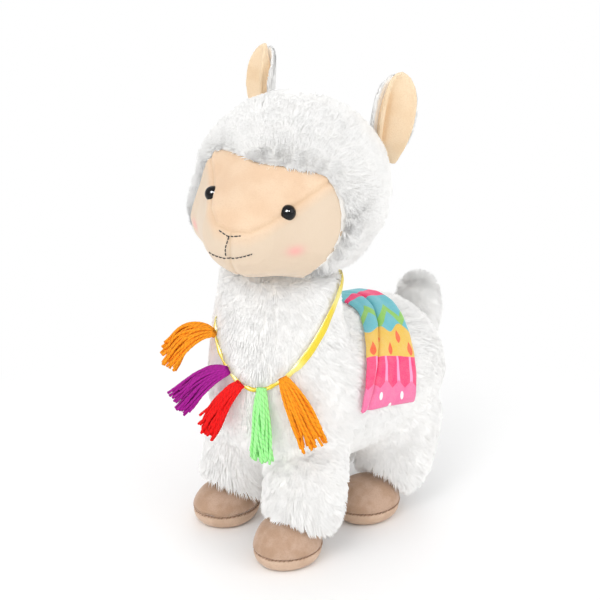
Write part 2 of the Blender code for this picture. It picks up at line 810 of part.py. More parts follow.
def make_tail(toy, body):
    """A round tuft that stands up behind the rump."""
    across = Vector((1, 0, 0))
    back = RUMP_Y + TAIL_BEHIND
    base_z = BELLY_Z + TAIL_ABOVE
    tip = Vector((0, back + 1 * MM, base_z + TAIL_HEIGHT))
    shapes = (
        (Vector((0, back - 16 * MM, base_z - 6 * MM)), Vector((0, 0.8, 1)), 0.55),
        (Vector((0, back - 4 * MM, base_z)), Vector((0, 0.5, 1)), 0.95),
        (Vector((0, back + 1 * MM, base_z + TAIL_HEIGHT / 2)), Vector((0, 1, 0)), 1.0),
        (tip - Vector((0, 0, 0.45 * TAIL_RADIUS)), Vector((0, 1, 0.1)), 0.98),
        (tip, Vector((0, 1, 0.1)), 0.42),
    )
    cage = TAIL_RADIUS * LIMB_CAGE
    rings = [
        (ring_at(centre, across, along, share * cage, share * cage), LIMB_CORNERS)
        for centre, along, share in shapes
    ]
    tail = toy.add("tail", lofted_rings(rings), "white_plush", toy.body_frame)
    smooth(tail, 1)
    boolean(tail, toy.grown(body, FIT_GAP))
    return tail


def hit_from_outside(tree, inside, direction):
    """Where a ray from far out, aimed at a point inside, first meets a surface, and its normal."""
    far = 0.4
    point, normal, _, _ = tree.ray_cast(inside + direction * far, -direction)
    if normal.dot(direction) < 0:
        normal = -normal
    return point, normal


def make_blanket(toy, tree):
    """One rectangle of printed cloth laid over the back, with a crease from edge to edge."""
    bm = bmesh.new()
    bmesh.ops.create_grid(bm, x_segments=BLANKET_COLUMNS, y_segments=BLANKET_ROWS, size=1)
    axis_z = (BELLY_Z + BACK_Z) / 2
    for vert in bm.verts:
        angle = math.radians(BLANKET_REACH_DEG) * vert.co.x
        share = (vert.co.y + 1) / 2
        y = BLANKET_FRONT_Y + (BLANKET_REAR_Y - BLANKET_FRONT_Y) * share
        # The cloth steps back over the spine, round the root of the neck
        y += BLANKET_NECK_STEP * math.cos(angle / 2) ** 4
        out = Vector((math.sin(angle), 0, math.cos(angle)))
        point, normal = hit_from_outside(tree, Vector((0, y, axis_z)), out)
        crease = math.exp(-(((share - CREASE_SHARE) / CREASE_SPREAD) ** 2))
        loft = BLANKET_LOFT * (1 - crease)
        vert.co = point + normal * (2 * FIT_GAP + BLANKET_THICKNESS / 2 + loft)
    blanket = toy.add("saddle_blanket", bm, "printed_velour", toy.body_frame)
    thicken = blanket.modifiers.new("thickness", "SOLIDIFY")
    thicken.thickness = BLANKET_THICKNESS
    thicken.offset = 0
    return blanket


def ribbon_frame(tree, turn):
    """Where the ribbon's middle is at this turn round the neck, and the way out from there."""
    off = min(abs((turn - RIBBON_LOW_DEG + 180) % 360 - 180) / RIBBON_DROP_DEG, 1)
    rise = math.sin(off * math.pi / 2) ** RIBBON_DROP_POWER
    height = RIBBON_LOW_Z + (RIBBON_BACK_Z - RIBBON_LOW_Z) * rise
    around = math.radians(turn)
    out = Vector((math.sin(around), -math.cos(around), 0))
    point, normal = hit_from_outside(tree, Vector((0, NECK_Y, height)), out)
    return point + normal * (RIBBON_LIFT + RIBBON_THICKNESS / 2), normal


def make_ribbon(toy, tree):
    """A flat band in a closed loop, gathered narrow between the tassels."""
    turns = [360 * index / RIBBON_POINTS for index in range(RIBBON_POINTS)]
    frames = [ribbon_frame(tree, turn) for turn in turns]
    corners = Matrix.Rotation(math.pi / 4, 4, "Z")
    first_tied = TASSELS[0][1]
    last_tied = TASSELS[-1][1]
    bm = bmesh.new()
    loops = []
    for index, (point, normal) in enumerate(frames):
        along = frames[(index + 1) % RIBBON_POINTS][0] - frames[index - 1][0]
        across = along.cross(normal)
        turn = (turns[index] + 180) % 360 - 180
        outside = max(first_tied - turn, turn - last_tied, 0)
        width = RIBBON_TIED_WIDTH + (RIBBON_WIDTH - RIBBON_TIED_WIDTH) * min(outside / 15, 1)
        half_width = width / math.sqrt(2)
        half_depth = RIBBON_THICKNESS / math.sqrt(2)
        place = ring_at(point, across, across.cross(along), half_width, half_depth)
        made = bmesh.ops.create_circle(bm, segments=4, radius=1, matrix=place @ corners)
        loops.append(list({edge for vert in made["verts"] for edge in vert.link_edges}))
    for index, loop in enumerate(loops):
        bmesh.ops.bridge_loops(bm, edges=loop + loops[(index + 1) % RIBBON_POINTS])
    return toy.add("neck_ribbon", bm, "yellow_satin", toy.body_frame)


def pushed_out(tree, point, clearance):
    """The point, moved out until it is this far from the surface."""
    nearest, normal, _, _ = tree.find_nearest(point)
    height = (point - nearest).dot(normal)
    return point if height > clearance else nearest + normal * clearance


def strand_points(tree, knot, hang, fan, layer_out, index):
    """The middle line of one strand, from inside the knot to its cut end."""
    spread = index / (STRANDS - 1) - 0.5
    length = 1 - 0.12 * (index * 5 % 4) / 3
    points = [knot]
    for step in range(1, STRAND_STEPS + 1):
        share = step / STRAND_STEPS
        # Yarn leaves the knot outwards and then drops
        arch = layer_out * 6 * MM * math.sin(share * math.pi * 0.75)
        point = knot + hang * share * length + fan * spread * share**0.8 + arch
        points.append(pushed_out(tree, point, 5 * FIT_GAP + STRAND_DEPTH / 2))
    return points


def flat_strand(points, fan, half_width, half_depth):
    """A strand through points that is deeper than it is wide, so that its neighbours join."""
    rings = []
    for index, point in enumerate(points):
        aim = points[min(index + 1, len(points) - 1)] - points[max(index - 1, 0)]
        across = fan - aim * fan.dot(aim) / aim.length_squared
        rings.append((ring_at(point, across, aim.cross(across), half_width, half_depth), 6))
    return lofted_rings(rings)


def make_tassels(toy, tree, body, ribbon):
    """Bundles of yarn, each tied round the ribbon with a knot."""
    grown_body = toy.grown(body, FIT_GAP)
    grown_ribbon = toy.grown(ribbon, FIT_GAP)
    for name, turn, yarn, way, spread in TASSELS:
        point, normal = ribbon_frame(tree, turn)
        knot = point + normal * 0.35 * KNOT_RADIUS
        hang = Vector(way) * TASSEL_LENGTH
        fan = hang.cross(normal).normalized() * spread * TASSEL_LENGTH
        layer_out = fan.cross(hang).normalized()
        if layer_out.dot(normal) < 0:
            layer_out.negate()
        bm = bmesh.new()
        middle = Matrix.Translation(knot)
        bmesh.ops.create_uvsphere(bm, u_segments=8, v_segments=6, radius=KNOT_RADIUS, matrix=middle)
        tassel = toy.add(name, bm, yarn, toy.body_frame)
        boolean(tassel, grown_body)
        for index in range(STRANDS):
            points = strand_points(tree, knot, hang, fan, layer_out, index)
            strand = flat_strand(points, fan, STRAND_WIDTH / 2, STRAND_DEPTH / 2)
            boolean(tassel, toy.cutter(f"{name}_strand_{index}", strand, toy.body_frame), "UNION")
        boolean(tassel, grown_ribbon)


def main():
    clear_scene()
    toy = Toy()
    body = make_body(toy)
    head = make_head(toy, body)
    legs = make_legs(toy, body)
    make_tail(toy, body)
    panels = make_face(toy)
    make_ears(toy, head)
    make_eyes(toy, head, panels)
    make_stitching(toy)
    plush = surface_of([body, *(piece for piece in legs if piece.name.startswith("leg"))])
    make_blanket(toy, plush)
    ribbon = make_ribbon(toy, plush)
    make_tassels(toy, plush, body, ribbon)


main()
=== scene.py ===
"""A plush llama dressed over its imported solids: pile, velour face, hooves, blanket and tassels."""

import json
import logging
import math
import random
from dataclasses import dataclass
from dataclasses import field
from enum import Enum
from typing import Callable
from typing import Iterable
from typing import Sequence

import bmesh
import bpy
import numpy as np
from mathutils import Matrix
from mathutils import Vector
from mathutils import noise
from mathutils.bvhtree import BVHTree

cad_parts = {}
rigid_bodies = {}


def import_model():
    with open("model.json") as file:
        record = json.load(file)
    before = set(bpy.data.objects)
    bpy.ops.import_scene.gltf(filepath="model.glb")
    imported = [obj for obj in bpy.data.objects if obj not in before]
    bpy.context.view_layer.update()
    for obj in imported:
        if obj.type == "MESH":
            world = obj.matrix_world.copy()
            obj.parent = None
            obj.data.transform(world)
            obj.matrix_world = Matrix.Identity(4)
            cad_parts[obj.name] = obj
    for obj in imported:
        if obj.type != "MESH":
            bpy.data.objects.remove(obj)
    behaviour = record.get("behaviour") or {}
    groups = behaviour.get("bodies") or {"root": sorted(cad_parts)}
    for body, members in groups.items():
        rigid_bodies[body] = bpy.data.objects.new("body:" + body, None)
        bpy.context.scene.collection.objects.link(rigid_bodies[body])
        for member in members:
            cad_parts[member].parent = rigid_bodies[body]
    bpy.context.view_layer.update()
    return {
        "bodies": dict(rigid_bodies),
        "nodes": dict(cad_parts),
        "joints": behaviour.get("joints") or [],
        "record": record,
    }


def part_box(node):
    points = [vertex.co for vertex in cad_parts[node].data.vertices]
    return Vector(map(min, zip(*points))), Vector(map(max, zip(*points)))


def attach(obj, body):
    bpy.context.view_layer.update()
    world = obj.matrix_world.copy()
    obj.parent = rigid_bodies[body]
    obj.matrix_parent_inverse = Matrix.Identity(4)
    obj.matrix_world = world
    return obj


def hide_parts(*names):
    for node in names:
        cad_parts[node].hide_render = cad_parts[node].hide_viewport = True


MM = 0.001
SUNFLOWER_TURN = 2.39996
LOG = logging.getLogger("plush_llama")


# Shader maths


class Shade:
    """A socket of a material's nodes that can be used in Python expressions."""

    def __init__(self, nodes: "MaterialNodes", socket: bpy.types.NodeSocket) -> None:
        """Keeps the socket and the material that it is in."""
        self.nodes = nodes
        self.socket = socket

    def __add__(self, other: "Value") -> "Shade":
        """The sum."""
        return self.nodes.maths("ADD", self, other)

    def __radd__(self, other: "Value") -> "Shade":
        """The sum, with a number first."""
        return self.nodes.maths("ADD", other, self)

    def __sub__(self, other: "Value") -> "Shade":
        """The difference."""
        return self.nodes.maths("SUBTRACT", self, other)

    def __rsub__(self, other: "Value") -> "Shade":
        """The difference, with a number first."""
        return self.nodes.maths("SUBTRACT", other, self)

    def __mul__(self, other: "Value") -> "Shade":
        """The product."""
        return self.nodes.maths("MULTIPLY", self, other)

    def __rmul__(self, other: "Value") -> "Shade":
        """The product, with a number first."""
        return self.nodes.maths("MULTIPLY", other, self)

    def __abs__(self) -> "Shade":
        """The absolute value."""
        return self.nodes.maths("ABSOLUTE", self)

    def wave(self) -> "Shade":
        """The sine."""
        return self.nodes.maths("SINE", self)

    def fraction(self) -> "Shade":
        """What is left over the whole number below."""
        return self.nodes.maths("FRACT", self)

    def at_least(self, other: "Value") -> "Shade":
        """The greater of the two."""
        return self.nodes.maths("MAXIMUM", self, other)

    def ramp(self, low: float, high: float) -> "Shade":
        """0 below one value and 1 above the other, with a smooth rise between.

        Args:
            low: where the rise starts.
            high: where the rise ends.

        Returns:
            The share of the rise.
        """
        return self.nodes.node(
            "ShaderNodeMapRange",
            {"interpolation_type": "SMOOTHSTEP"},
            {"Value": self, "From Min": low, "From Max": high},
        )


Value = Shade | float | Sequence[float]


class MaterialNodes:
    """A material whose nodes are made by one method and joined by expressions."""

    def __init__(self, name: str) -> None:
        """Starts a material of this name with its Principled shader."""
        self.material = bpy.data.materials.new(name)
        self.material.use_nodes = True
        self.tree = self.material.node_tree
        self.shader = self.tree.nodes["Principled BSDF"]

    def node(
        self,
        kind: str,
        settings: dict[str, object] | None = None,
        inputs: dict[str | int, Value] | None = None,
        output: str | int = 0,
    ) -> Shade:
        """Makes one node.

        Args:
            kind: the node's type.
            settings: what is set on the node, before its sockets are looked up.
            inputs: what goes into its sockets, as numbers or as other sockets.
            output: the socket that is wanted.

        Returns:
            That socket.
        """
        made = self.tree.nodes.new(kind)
        for key, value in (settings or {}).items():
            setattr(made, key, value)
        for key, value in (inputs or {}).items():
            self.feed(made.inputs[key], value)
        return Shade(self, made.outputs[output])

    def feed(self, socket: bpy.types.NodeSocket, value: Value) -> None:
        """Links a socket or sets its number or colour.

        Args:
            socket: a node's input.
            value: what goes into it.
        """
        if isinstance(value, Shade):
            self.tree.links.new(value.socket, socket)
        elif hasattr(value, "__len__") and socket.type == "RGBA":
            socket.default_value = (*value[:3], 1.0)
        else:
            socket.default_value = value

    def maths(self, operation: str, *values: Value) -> Shade:
        """A Math node on numbers."""
        return self.node("ShaderNodeMath", {"operation": operation}, dict(enumerate(values)))

    def mix(self, share: Value, first: Value, second: Value) -> Shade:
        """The first colour where the share is 0 and the second where it is 1."""
        return self.node(
            "ShaderNodeMix",
            {"data_type": "RGBA"},
            {0: share, 6: first, 7: second},
            output=2,
        )

    def object_place(self) -> Shade:
        """The place on the object, in metres."""
        return self.node("ShaderNodeTexCoord", output="Object")

    def map_place(self, name: str) -> tuple[Shade, Shade]:
        """The two coordinates of a piece's own map.

        Args:
            name: the map's name.

        Returns:
            The first coordinate and the second.
        """
        found = self.node("ShaderNodeUVMap", {"uv_map": name})
        across = self.node("ShaderNodeSeparateXYZ", {}, {0: found}, output=0)
        along = self.node("ShaderNodeSeparateXYZ", {}, {0: found}, output=1)
        return across, along

    def cloud(self, place: Value, size: float, detail: float) -> Shade:
        """Soft noise between 0 and 1 with blotches of this size."""
        return self.node(
            "ShaderNodeTexNoise",
            {},
            {"Vector": place, "Scale": 1.0 / size, "Detail": detail},
        )

    def bump(self, height: Value, depth: float, strength: float) -> Shade:
        """A normal that shows a height between 0 and 1 as relief of this depth."""
        return self.node(
            "ShaderNodeBump",
            {},
            {"Height": height, "Distance": depth, "Strength": strength},
            output="Normal",
        )

    def dress(self, **inputs: Value) -> bpy.types.Material:
        """Feeds the Principled shader.

        Args:
            **inputs: its sockets, with an underscore for each space in their names.

        Returns:
            The finished material.
        """
        for key, value in inputs.items():
            self.feed(self.shader.inputs[key.replace("_", " ")], value)
        return self.material


# Finishes


@dataclass(frozen=True)
class PlushPile:
    """White long pile: each tuft has a tone of its own, and painted shade darkens it towards its root.

    Light that goes on from fibre to fibre makes white pile glow evenly. A faint glow stands for it.
    """

    name: str = "white_pile"
    tip: tuple[float, float, float] = (0.94, 0.93, 0.91)
    # The colour at a tuft's root, darkened as painted shade deep in the pile
    root: tuple[float, float, float] = (0.91, 0.895, 0.865)
    cool: tuple[float, float, float] = (0.93, 0.93, 0.92)
    glow: float = 0.14

    def make(self) -> bpy.types.Material:
        """Makes the material, which reads each tuft's tone and height from the map strand.

        Returns:
            The material.
        """
        nodes = MaterialNodes(self.name)
        tone, height = nodes.map_place("strand")
        hue = nodes.mix(tone, self.tip, self.cool)
        # Painted shade: each tuft darkens from its tip towards its root
        colour = nodes.mix(height.ramp(0.0, 0.55), self.root, hue)
        fibres = nodes.cloud(nodes.object_place(), 0.7 * MM, 2.0)
        return nodes.dress(
            Base_Color=colour,
            Roughness=0.95,
            Specular_IOR_Level=0.1,
            Emission_Color=colour,
            Emission_Strength=self.glow,
            Normal=nodes.bump(fibres, 0.25 * MM, 0.35),
        )


@dataclass(frozen=True)
class Velour:
    """Short-piled cloth with a fine mottled nap."""

    name: str
    colour: tuple[float, float, float] = (0.81, 0.57, 0.38)
    rubbed: tuple[float, float, float] = (0.85, 0.63, 0.44)
    shadow: tuple[float, float, float] = (0.73, 0.49, 0.30)
    patch: float = 16 * MM

    def make(self) -> bpy.types.Material:
        """Makes the finish's nodes.

        Returns:
            The material.
        """
        nodes = MaterialNodes(self.name)
        place = nodes.object_place()
        broad = nodes.cloud(place, self.patch, 2.0)
        fine = nodes.cloud(place, 0.7 * MM, 3.0)
        colour = nodes.mix(broad.ramp(0.35, 0.65), self.colour, self.rubbed)
        colour = nodes.mix((1 - fine.ramp(0.25, 0.6)) * 0.35, colour, self.shadow)
        colour = self.tinted(nodes, colour)
        return nodes.dress(
            Base_Color=colour,
            Roughness=0.85,
            Specular_IOR_Level=0.15,
            Sheen_Weight=0.35,
            Sheen_Roughness=0.4,
            Normal=nodes.bump(fine, 0.25 * MM, 0.6),
        )

    def tinted(self, nodes: MaterialNodes, colour: Shade) -> Shade:
        """The colour with what is on the cloth, here nothing."""
        return colour


@dataclass(frozen=True)
class FaceVelour(Velour):
    """The face's velour, with blushed cheeks, and painted shade along its seams and at its edge, where it
    runs under the hood's pile.
    """

    blush: tuple[float, float, float] = (0.91, 0.40, 0.38)
    # The colour of the painted shade along the seams and at the edge under the hood
    turned: tuple[float, float, float] = (0.60, 0.40, 0.21)
    cheek: tuple[float, float, float] = (0.74, 0.615, 0.48)

    def tinted(self, nodes: MaterialNodes, colour: Shade) -> Shade:
        """The colour with the three fields of the attribute marks.

        Args:
            nodes: the material.
            colour: the plain cloth's colour.

        Returns:
            The colour with the lower face, the painted shade at the seams and the edge, and the blush laid
            over it in turn.
        """
        marks = nodes.node("ShaderNodeAttribute", {"attribute_name": "marks"}, output="Color")
        blush, seam, low = (
            nodes.node("ShaderNodeSeparateColor", {}, {0: marks}, output=index) for index in range(3)
        )
        colour = nodes.mix(low * 0.8, colour, self.cheek)
        # Painted shade along the seams and where the face runs under the hood
        colour = nodes.mix(seam, colour, self.turned)
        return nodes.mix(blush * 0.75, colour, self.blush)


@dataclass(frozen=True)
class PrintedVelour:
    """The blanket's cloth: bands of colour with a zigzag, drops, stripes, scallops and dots.

    The map print counts millimetres: across from the front edge, and along from the spine.
    """

    name: str = "printed_velour"
    turquoise: tuple[float, float, float] = (0.13, 0.52, 0.60)
    green: tuple[float, float, float] = (0.27, 0.60, 0.11)
    yellow: tuple[float, float, float] = (0.87, 0.55, 0.07)
    orange: tuple[float, float, float] = (0.93, 0.12, 0.015)
    magenta: tuple[float, float, float] = (0.93, 0.034, 0.18)
    stripe: tuple[float, float, float] = (0.97, 0.33, 0.60)
    pink: tuple[float, float, float] = (0.90, 0.16, 0.37)
    white: tuple[float, float, float] = (0.95, 0.90, 0.92)
    half_length: float = 78.0

    def make(self) -> bpy.types.Material:
        """Makes the finish's nodes.

        Returns:
            The material.
        """
        nodes = MaterialNodes(self.name)
        across, along = nodes.map_place("print")
        down = abs(along) - (across - 21.0) * 0.10
        peaks = abs(((across + 3.0) * (1 / 23.0)).fraction() - 0.5) * 22.0
        swing = ((across + 1.0) * (math.tau / 23.0)).wave() * 2.6
        scallop = abs(((across - 1.5) * (1 / 12.0)).fraction() - 0.5) * 8.0
        colour = nodes.mix(down.ramp(3.6, 4.0), self.magenta, self.turquoise)
        green = (down - 14.5 - peaks).ramp(0.0, 0.4) * (1 - (down - 21.0 - peaks).ramp(0.0, 0.4))
        colour = nodes.mix(green, colour, self.green)
        colour = nodes.mix((down - 33.0 - swing).ramp(0.0, 0.4), colour, self.yellow)
        drops = self.drops(across, down, 38.6, 5.0).at_least(self.drops(across, down, 45.6, 15.0))
        colour = nodes.mix(drops, colour, self.orange)
        lower = down.ramp(49.8, 50.1)
        colour = nodes.mix(lower, colour, self.magenta)
        bar = abs(((across - 1.5) * (1 / 12.0)).fraction() - 0.5) * 12.0
        bars = 1 - (bar - 0.8 - (down - 50.0) * 0.03).ramp(0.0, 0.3)
        colour = nodes.mix(bars * lower, colour, self.stripe)
        colour = nodes.mix((down - 62.5 - scallop).ramp(0.0, 0.4), colour, self.pink)
        dots = self.dots(across, down, 71.0, 5.0).at_least(self.dots(across, down, 77.5, 15.0))
        colour = nodes.mix(dots, colour, self.white)
        place = nodes.object_place()
        nap = nodes.cloud(place, 0.8 * MM, 3.0)
        patch = nodes.cloud(place, 7 * MM, 2.0)
        shade = (nap.ramp(0.2, 0.7) * 0.06 + patch.ramp(0.3, 0.7) * 0.06) * 0.9
        colour = nodes.mix(shade, colour, (1.0, 0.97, 0.95))
        return nodes.dress(
            Base_Color=colour,
            Roughness=0.8,
            Specular_IOR_Level=0.2,
            Sheen_Weight=0.3,
            Sheen_Roughness=0.35,
            Normal=nodes.bump(nap, 0.3 * MM, 0.5),
        )

    def drops(self, across: Shade, down: Shade, row: float, start: float) -> Shade:
        """A row of drops, each pointed at its top.

        Args:
            across: millimetres from the front edge.
            down: millimetres from the spine.
            row: how far down the row's middle is.
            start: where the first drop is.

        Returns:
            1 inside a drop.
        """
        side = abs(((across - start) * (1 / 20.0)).fraction() - 0.5) * 20.0
        low = (down - row) * (1 / 3.8)
        belly = (1 - low * low).at_least(0.0) * 2.7 * (0.80 + low * 0.38)
        return (1 - (side - belly).ramp(0.0, 0.25)) * (1 - (low * low).ramp(0.95, 1.0))

    def dots(self, across: Shade, down: Shade, row: float, start: float) -> Shade:
        """A row of upright oval dots.

        Args:
            across: millimetres from the front edge.
            down: millimetres from the spine.
            row: how far down the row's middle is.
            start: where the first dot is.

        Returns:
            1 inside a dot.
        """
        side = (((across - start) * (1 / 20.0)).fraction() - 0.5) * (20.0 / 1.5)
        low = (down - row) * (1 / 2.4)
        return 1 - (side * side + low * low).ramp(0.85, 1.1)


@dataclass(frozen=True)
class Satin:
    """Woven satin ribbon: a close weave, whose shine across the folds is painted into its colour as pale
    bands.
    """

    name: str = "yellow_satin"
    colour: tuple[float, float, float] = (0.86, 0.66, 0.004)
    # The colour of the painted highlights
    pale: tuple[float, float, float] = (0.94, 0.86, 0.25)

    def make(self) -> bpy.types.Material:
        """Makes the material, whose map satin counts along the band and across it.

        Returns:
            The material.
        """
        nodes = MaterialNodes(self.name)
        along, across = nodes.map_place("satin")
        # Painted highlight: pale bands along the ribbon stand for the shine of its folds
        band = (along * 0.13 + 1.2).wave() * 0.5 + 0.5
        colour = nodes.mix(band.ramp(0.6, 1.0) * 0.85, self.colour, self.pale)
        weave = (across * 24.0).wave() * 0.5 + (along * 9.0).wave() * 0.5
        return nodes.dress(
            Base_Color=colour,
            Roughness=0.34,
            Specular_IOR_Level=0.6,
            Sheen_Weight=0.2,
            Normal=nodes.bump(weave, 0.05 * MM, 0.4),
        )


@dataclass(frozen=True)
class Yarn:
    """Plied yarn: its plies wind round each other."""

    name: str
    colour: tuple[float, float, float]
    plies: float = 2.0
    twist: float = 0.3

    def make(self) -> bpy.types.Material:
        """Makes the material, whose map ply counts turns round the yarn and millimetres along it.

        Returns:
            The material.
        """
        nodes = MaterialNodes(self.name)
        around, along = nodes.map_place("ply")
        wind = ((around * self.plies + along * self.twist) * math.tau).wave() * 0.5 + 0.5
        hair = nodes.cloud(nodes.object_place(), 0.35 * MM, 2.0)
        # Painted shade in the grooves between the plies: the yarn's colour darkened where they wind apart
        ply_groove_shade = tuple(part * 0.80 for part in self.colour)
        light = tuple(min(1.0, part * 1.04 + 0.03) for part in self.colour)
        colour = nodes.mix(wind.ramp(0.0, 0.55), ply_groove_shade, self.colour)
        colour = nodes.mix(hair.ramp(0.45, 0.75) * 0.5, colour, light)
        return nodes.dress(
            Base_Color=colour,
            Roughness=0.9,
            Specular_IOR_Level=0.1,
            Normal=nodes.bump(wind * 0.5 + hair * 0.5, 0.25 * MM, 0.6),
        )


@dataclass(frozen=True)
class Thread:
    """Sewing thread with its fibres showing."""

    name: str
    colour: tuple[float, float, float]

    def make(self) -> bpy.types.Material:
        """Makes the finish's nodes.

        Returns:
            The material.
        """
        nodes = MaterialNodes(self.name)
        fibre = nodes.cloud(nodes.object_place(), 0.25 * MM, 2.0)
        light = tuple(min(1.0, part * 2.2 + 0.01) for part in self.colour)
        return nodes.dress(
            Base_Color=nodes.mix(fibre.ramp(0.4, 0.8), self.colour, light),
            Roughness=0.7,
            Specular_IOR_Level=0.3,
            Normal=nodes.bump(fibre, 0.1 * MM, 0.6),
        )


@dataclass(frozen=True)
class GlossPlastic:
    """Moulded plastic with a polished surface."""

    name: str
    colour: tuple[float, float, float]
    roughness: float = 0.02
    shine: float = 0.3

    def make(self) -> bpy.types.Material:
        """Makes the material, with faint polishing marks in its roughness.

        Returns:
            The material.
        """
        nodes = MaterialNodes(self.name)
        marks = nodes.cloud(nodes.object_place(), 1.5 * MM, 3.0)
        return nodes.dress(
            Base_Color=self.colour,
            Roughness=self.roughness + marks * 0.02,
            Specular_IOR_Level=self.shine,
        )


# Forms


def new_piece(name: str, bm: bmesh.types.BMesh, material: bpy.types.Material) -> bpy.types.Object:
    """Turns a bmesh into a smooth-shaded piece.

    Args:
        name: the piece's name.
        bm: its form, which is freed.
        material: its finish.

    Returns:
        The piece, at the origin.
    """
    mesh = bpy.data.meshes.new(name)
    bm.to_mesh(mesh)
    bm.free()
    mesh.materials.append(material)
    mesh.shade_smooth()
    if "soft_normal" in mesh.attributes:
        normals = np.empty(3 * len(mesh.vertices), np.float32)
        mesh.attributes["soft_normal"].data.foreach_get("vector", normals)
        mesh.normals_split_custom_set_from_vertices(normals.reshape(-1, 3))
        mesh.attributes.remove(mesh.attributes["soft_normal"])
    piece = bpy.data.objects.new(name, mesh)
    bpy.context.scene.collection.objects.link(piece)
    return piece


def merged_copy(nodes: Iterable[bpy.types.Object], grown: float = 0.0) -> bmesh.types.BMesh:
    """One bmesh of copies of CAD nodes, each with its loose triangles joined.

    Args:
        nodes: the CAD nodes.
        grown: how far each is pushed out, so that neighbours overlap.

    Returns:
        The bmesh.
    """
    bm = bmesh.new()
    for node in nodes:
        own = bmesh.new()
        own.from_mesh(node.data)
        bmesh.ops.remove_doubles(own, verts=own.verts, dist=0.01 * MM)
        own.normal_update()
        for vert in own.verts:
            vert.co += vert.normal * grown
        scratch = bpy.data.meshes.new("copied_form")
        own.to_mesh(scratch)
        own.free()
        bm.from_mesh(scratch)
        bpy.data.meshes.remove(scratch)
    return bm


def with_modifiers(bm: bmesh.types.BMesh, add: Callable[[bpy.types.Object], None]) -> bmesh.types.BMesh:
    """The bmesh after the modifiers that a function adds.

    Args:
        bm: the form, which is freed.
        add: puts modifiers on the object that holds it.

    Returns:
        The new bmesh.
    """
    mesh = bpy.data.meshes.new("form")
    bm.to_mesh(mesh)
    bm.free()
    holder = bpy.data.objects.new("form", mesh)
    bpy.context.scene.collection.objects.link(holder)
    add(holder)
    bpy.context.view_layer.update()
    evaluated = holder.evaluated_get(bpy.context.evaluated_depsgraph_get())
    made = bmesh.new()
    made.from_mesh(evaluated.to_mesh())
    evaluated.to_mesh_clear()
    bpy.data.objects.remove(holder)
    bpy.data.meshes.remove(mesh)
    made.normal_update()
    return made


def remeshed(
    bm: bmesh.types.BMesh,
    voxel: float,
    smoothing: int = 0,
    thickness: float = 0.0,
) -> bmesh.types.BMesh:
    """The bmesh as one even skin of small faces.

    Args:
        bm: the form, which is freed.
        voxel: the size of a face.
        smoothing: how often the skin is smoothed.
        thickness: what an open surface is first thickened to.

    Returns:
        The new bmesh.
    """

    def add(holder: bpy.types.Object) -> None:
        """Adds the modifiers.

        Args:
            holder: what they go on.
        """
        if thickness:
            solid = holder.modifiers.new("solid", "SOLIDIFY")
            solid.thickness = thickness
            solid.offset = 0
        modifier = holder.modifiers.new("even", "REMESH")
        modifier.mode = "VOXEL"
        modifier.voxel_size = voxel
        if smoothing:
            soften = holder.modifiers.new("soften", "SMOOTH")
            soften.factor = 0.5
            soften.iterations = smoothing

    return with_modifiers(bm, add)


def swollen(bm: bmesh.types.BMesh, pressure: float, most: float) -> bmesh.types.BMesh:
    """The form after a cloth simulation has blown it up, as its stuffing does.

    Args:
        bm: the form, which is freed.
        pressure: the pressure inside.
        most: the farthest that a point may move.

    Returns:
        The new bmesh.
    """
    mesh = bpy.data.meshes.new("stuffed_form")
    bm.to_mesh(mesh)
    holder = bpy.data.objects.new("stuffed_form", mesh)
    bpy.context.scene.collection.objects.link(holder)
    cloth = holder.modifiers.new("stuffing", "CLOTH")
    cloth.settings.use_pressure = True
    cloth.settings.uniform_pressure_force = pressure
    cloth.settings.effector_weights.gravity = 0
    cloth.settings.tension_stiffness = 8
    cloth.settings.compression_stiffness = 8
    cloth.collision_settings.use_collision = False
    for moment in range(1, 21):
        bpy.context.scene.frame_set(moment)
    evaluated = holder.evaluated_get(bpy.context.evaluated_depsgraph_get())
    moved = [vert.co.copy() for vert in evaluated.data.vertices]
    bpy.context.scene.frame_set(1)
    bpy.data.objects.remove(holder)
    bpy.data.meshes.remove(mesh)
    for vert, place in zip(bm.verts, moved, strict=True):
        way = place - vert.co
        vert.co += way * min(1.0, most / max(way.length, 0.001 * MM))
    bm.normal_update()
    return bm


def clamped(value: float) -> float:
    """The value, or the nearer end of the range from 0 to 1."""
    return max(0.0, min(1.0, value))


def bell(off: float, width: float) -> float:
    """1 at no distance, falling away on both sides over this width."""
    return math.exp(-((off / width) ** 2))


def half_turned(turn: float) -> float:
    """A turn in degrees, counted from -180 to 180."""
    return (turn + 180) % 360 - 180


def off_piece(spot: Vector, start: Vector, end: Vector) -> float:
    """How far a spot is from a straight piece of a line.

    Args:
        spot: the spot.
        start: one end of the piece.
        end: its other end.

    Returns:
        The distance.
    """
    way = end - start
    share = clamped((spot - start).dot(way) / way.length_squared)
    return (start + way * share - spot).length


def smooth(bm: bmesh.types.BMesh, factor: float) -> None:
    """Moves the points of a bmesh towards the middle of their neighbours."""
    axes = {"use_axis_x": True, "use_axis_y": True, "use_axis_z": True}
    bmesh.ops.smooth_vert(bm, verts=bm.verts, factor=factor, **axes)


def tree_of(
    objects: Iterable[bpy.types.Object],
    keep: Callable[[Vector], bool] | None = None,
) -> BVHTree:
    """A search tree of the faces of several meshes.

    Args:
        objects: the meshes.
        keep: whether a face with its middle at a place counts.

    Returns:
        The tree.
    """
    bm = bmesh.new()
    for obj in objects:
        bm.from_mesh(obj.data)
    if keep:
        others = [face for face in bm.faces if not keep(face.calc_center_median())]
        bmesh.ops.delete(bm, geom=others, context="FACES")
    tree = BVHTree.FromBMesh(bm)
    bm.free()
    return tree


def is_inside(tree: BVHTree, point: Vector) -> bool:
    """Whether a point is inside the closed form of a search tree."""
    nearest, normal, _, _ = tree.find_nearest(point)
    return (point - nearest).dot(normal) < 0


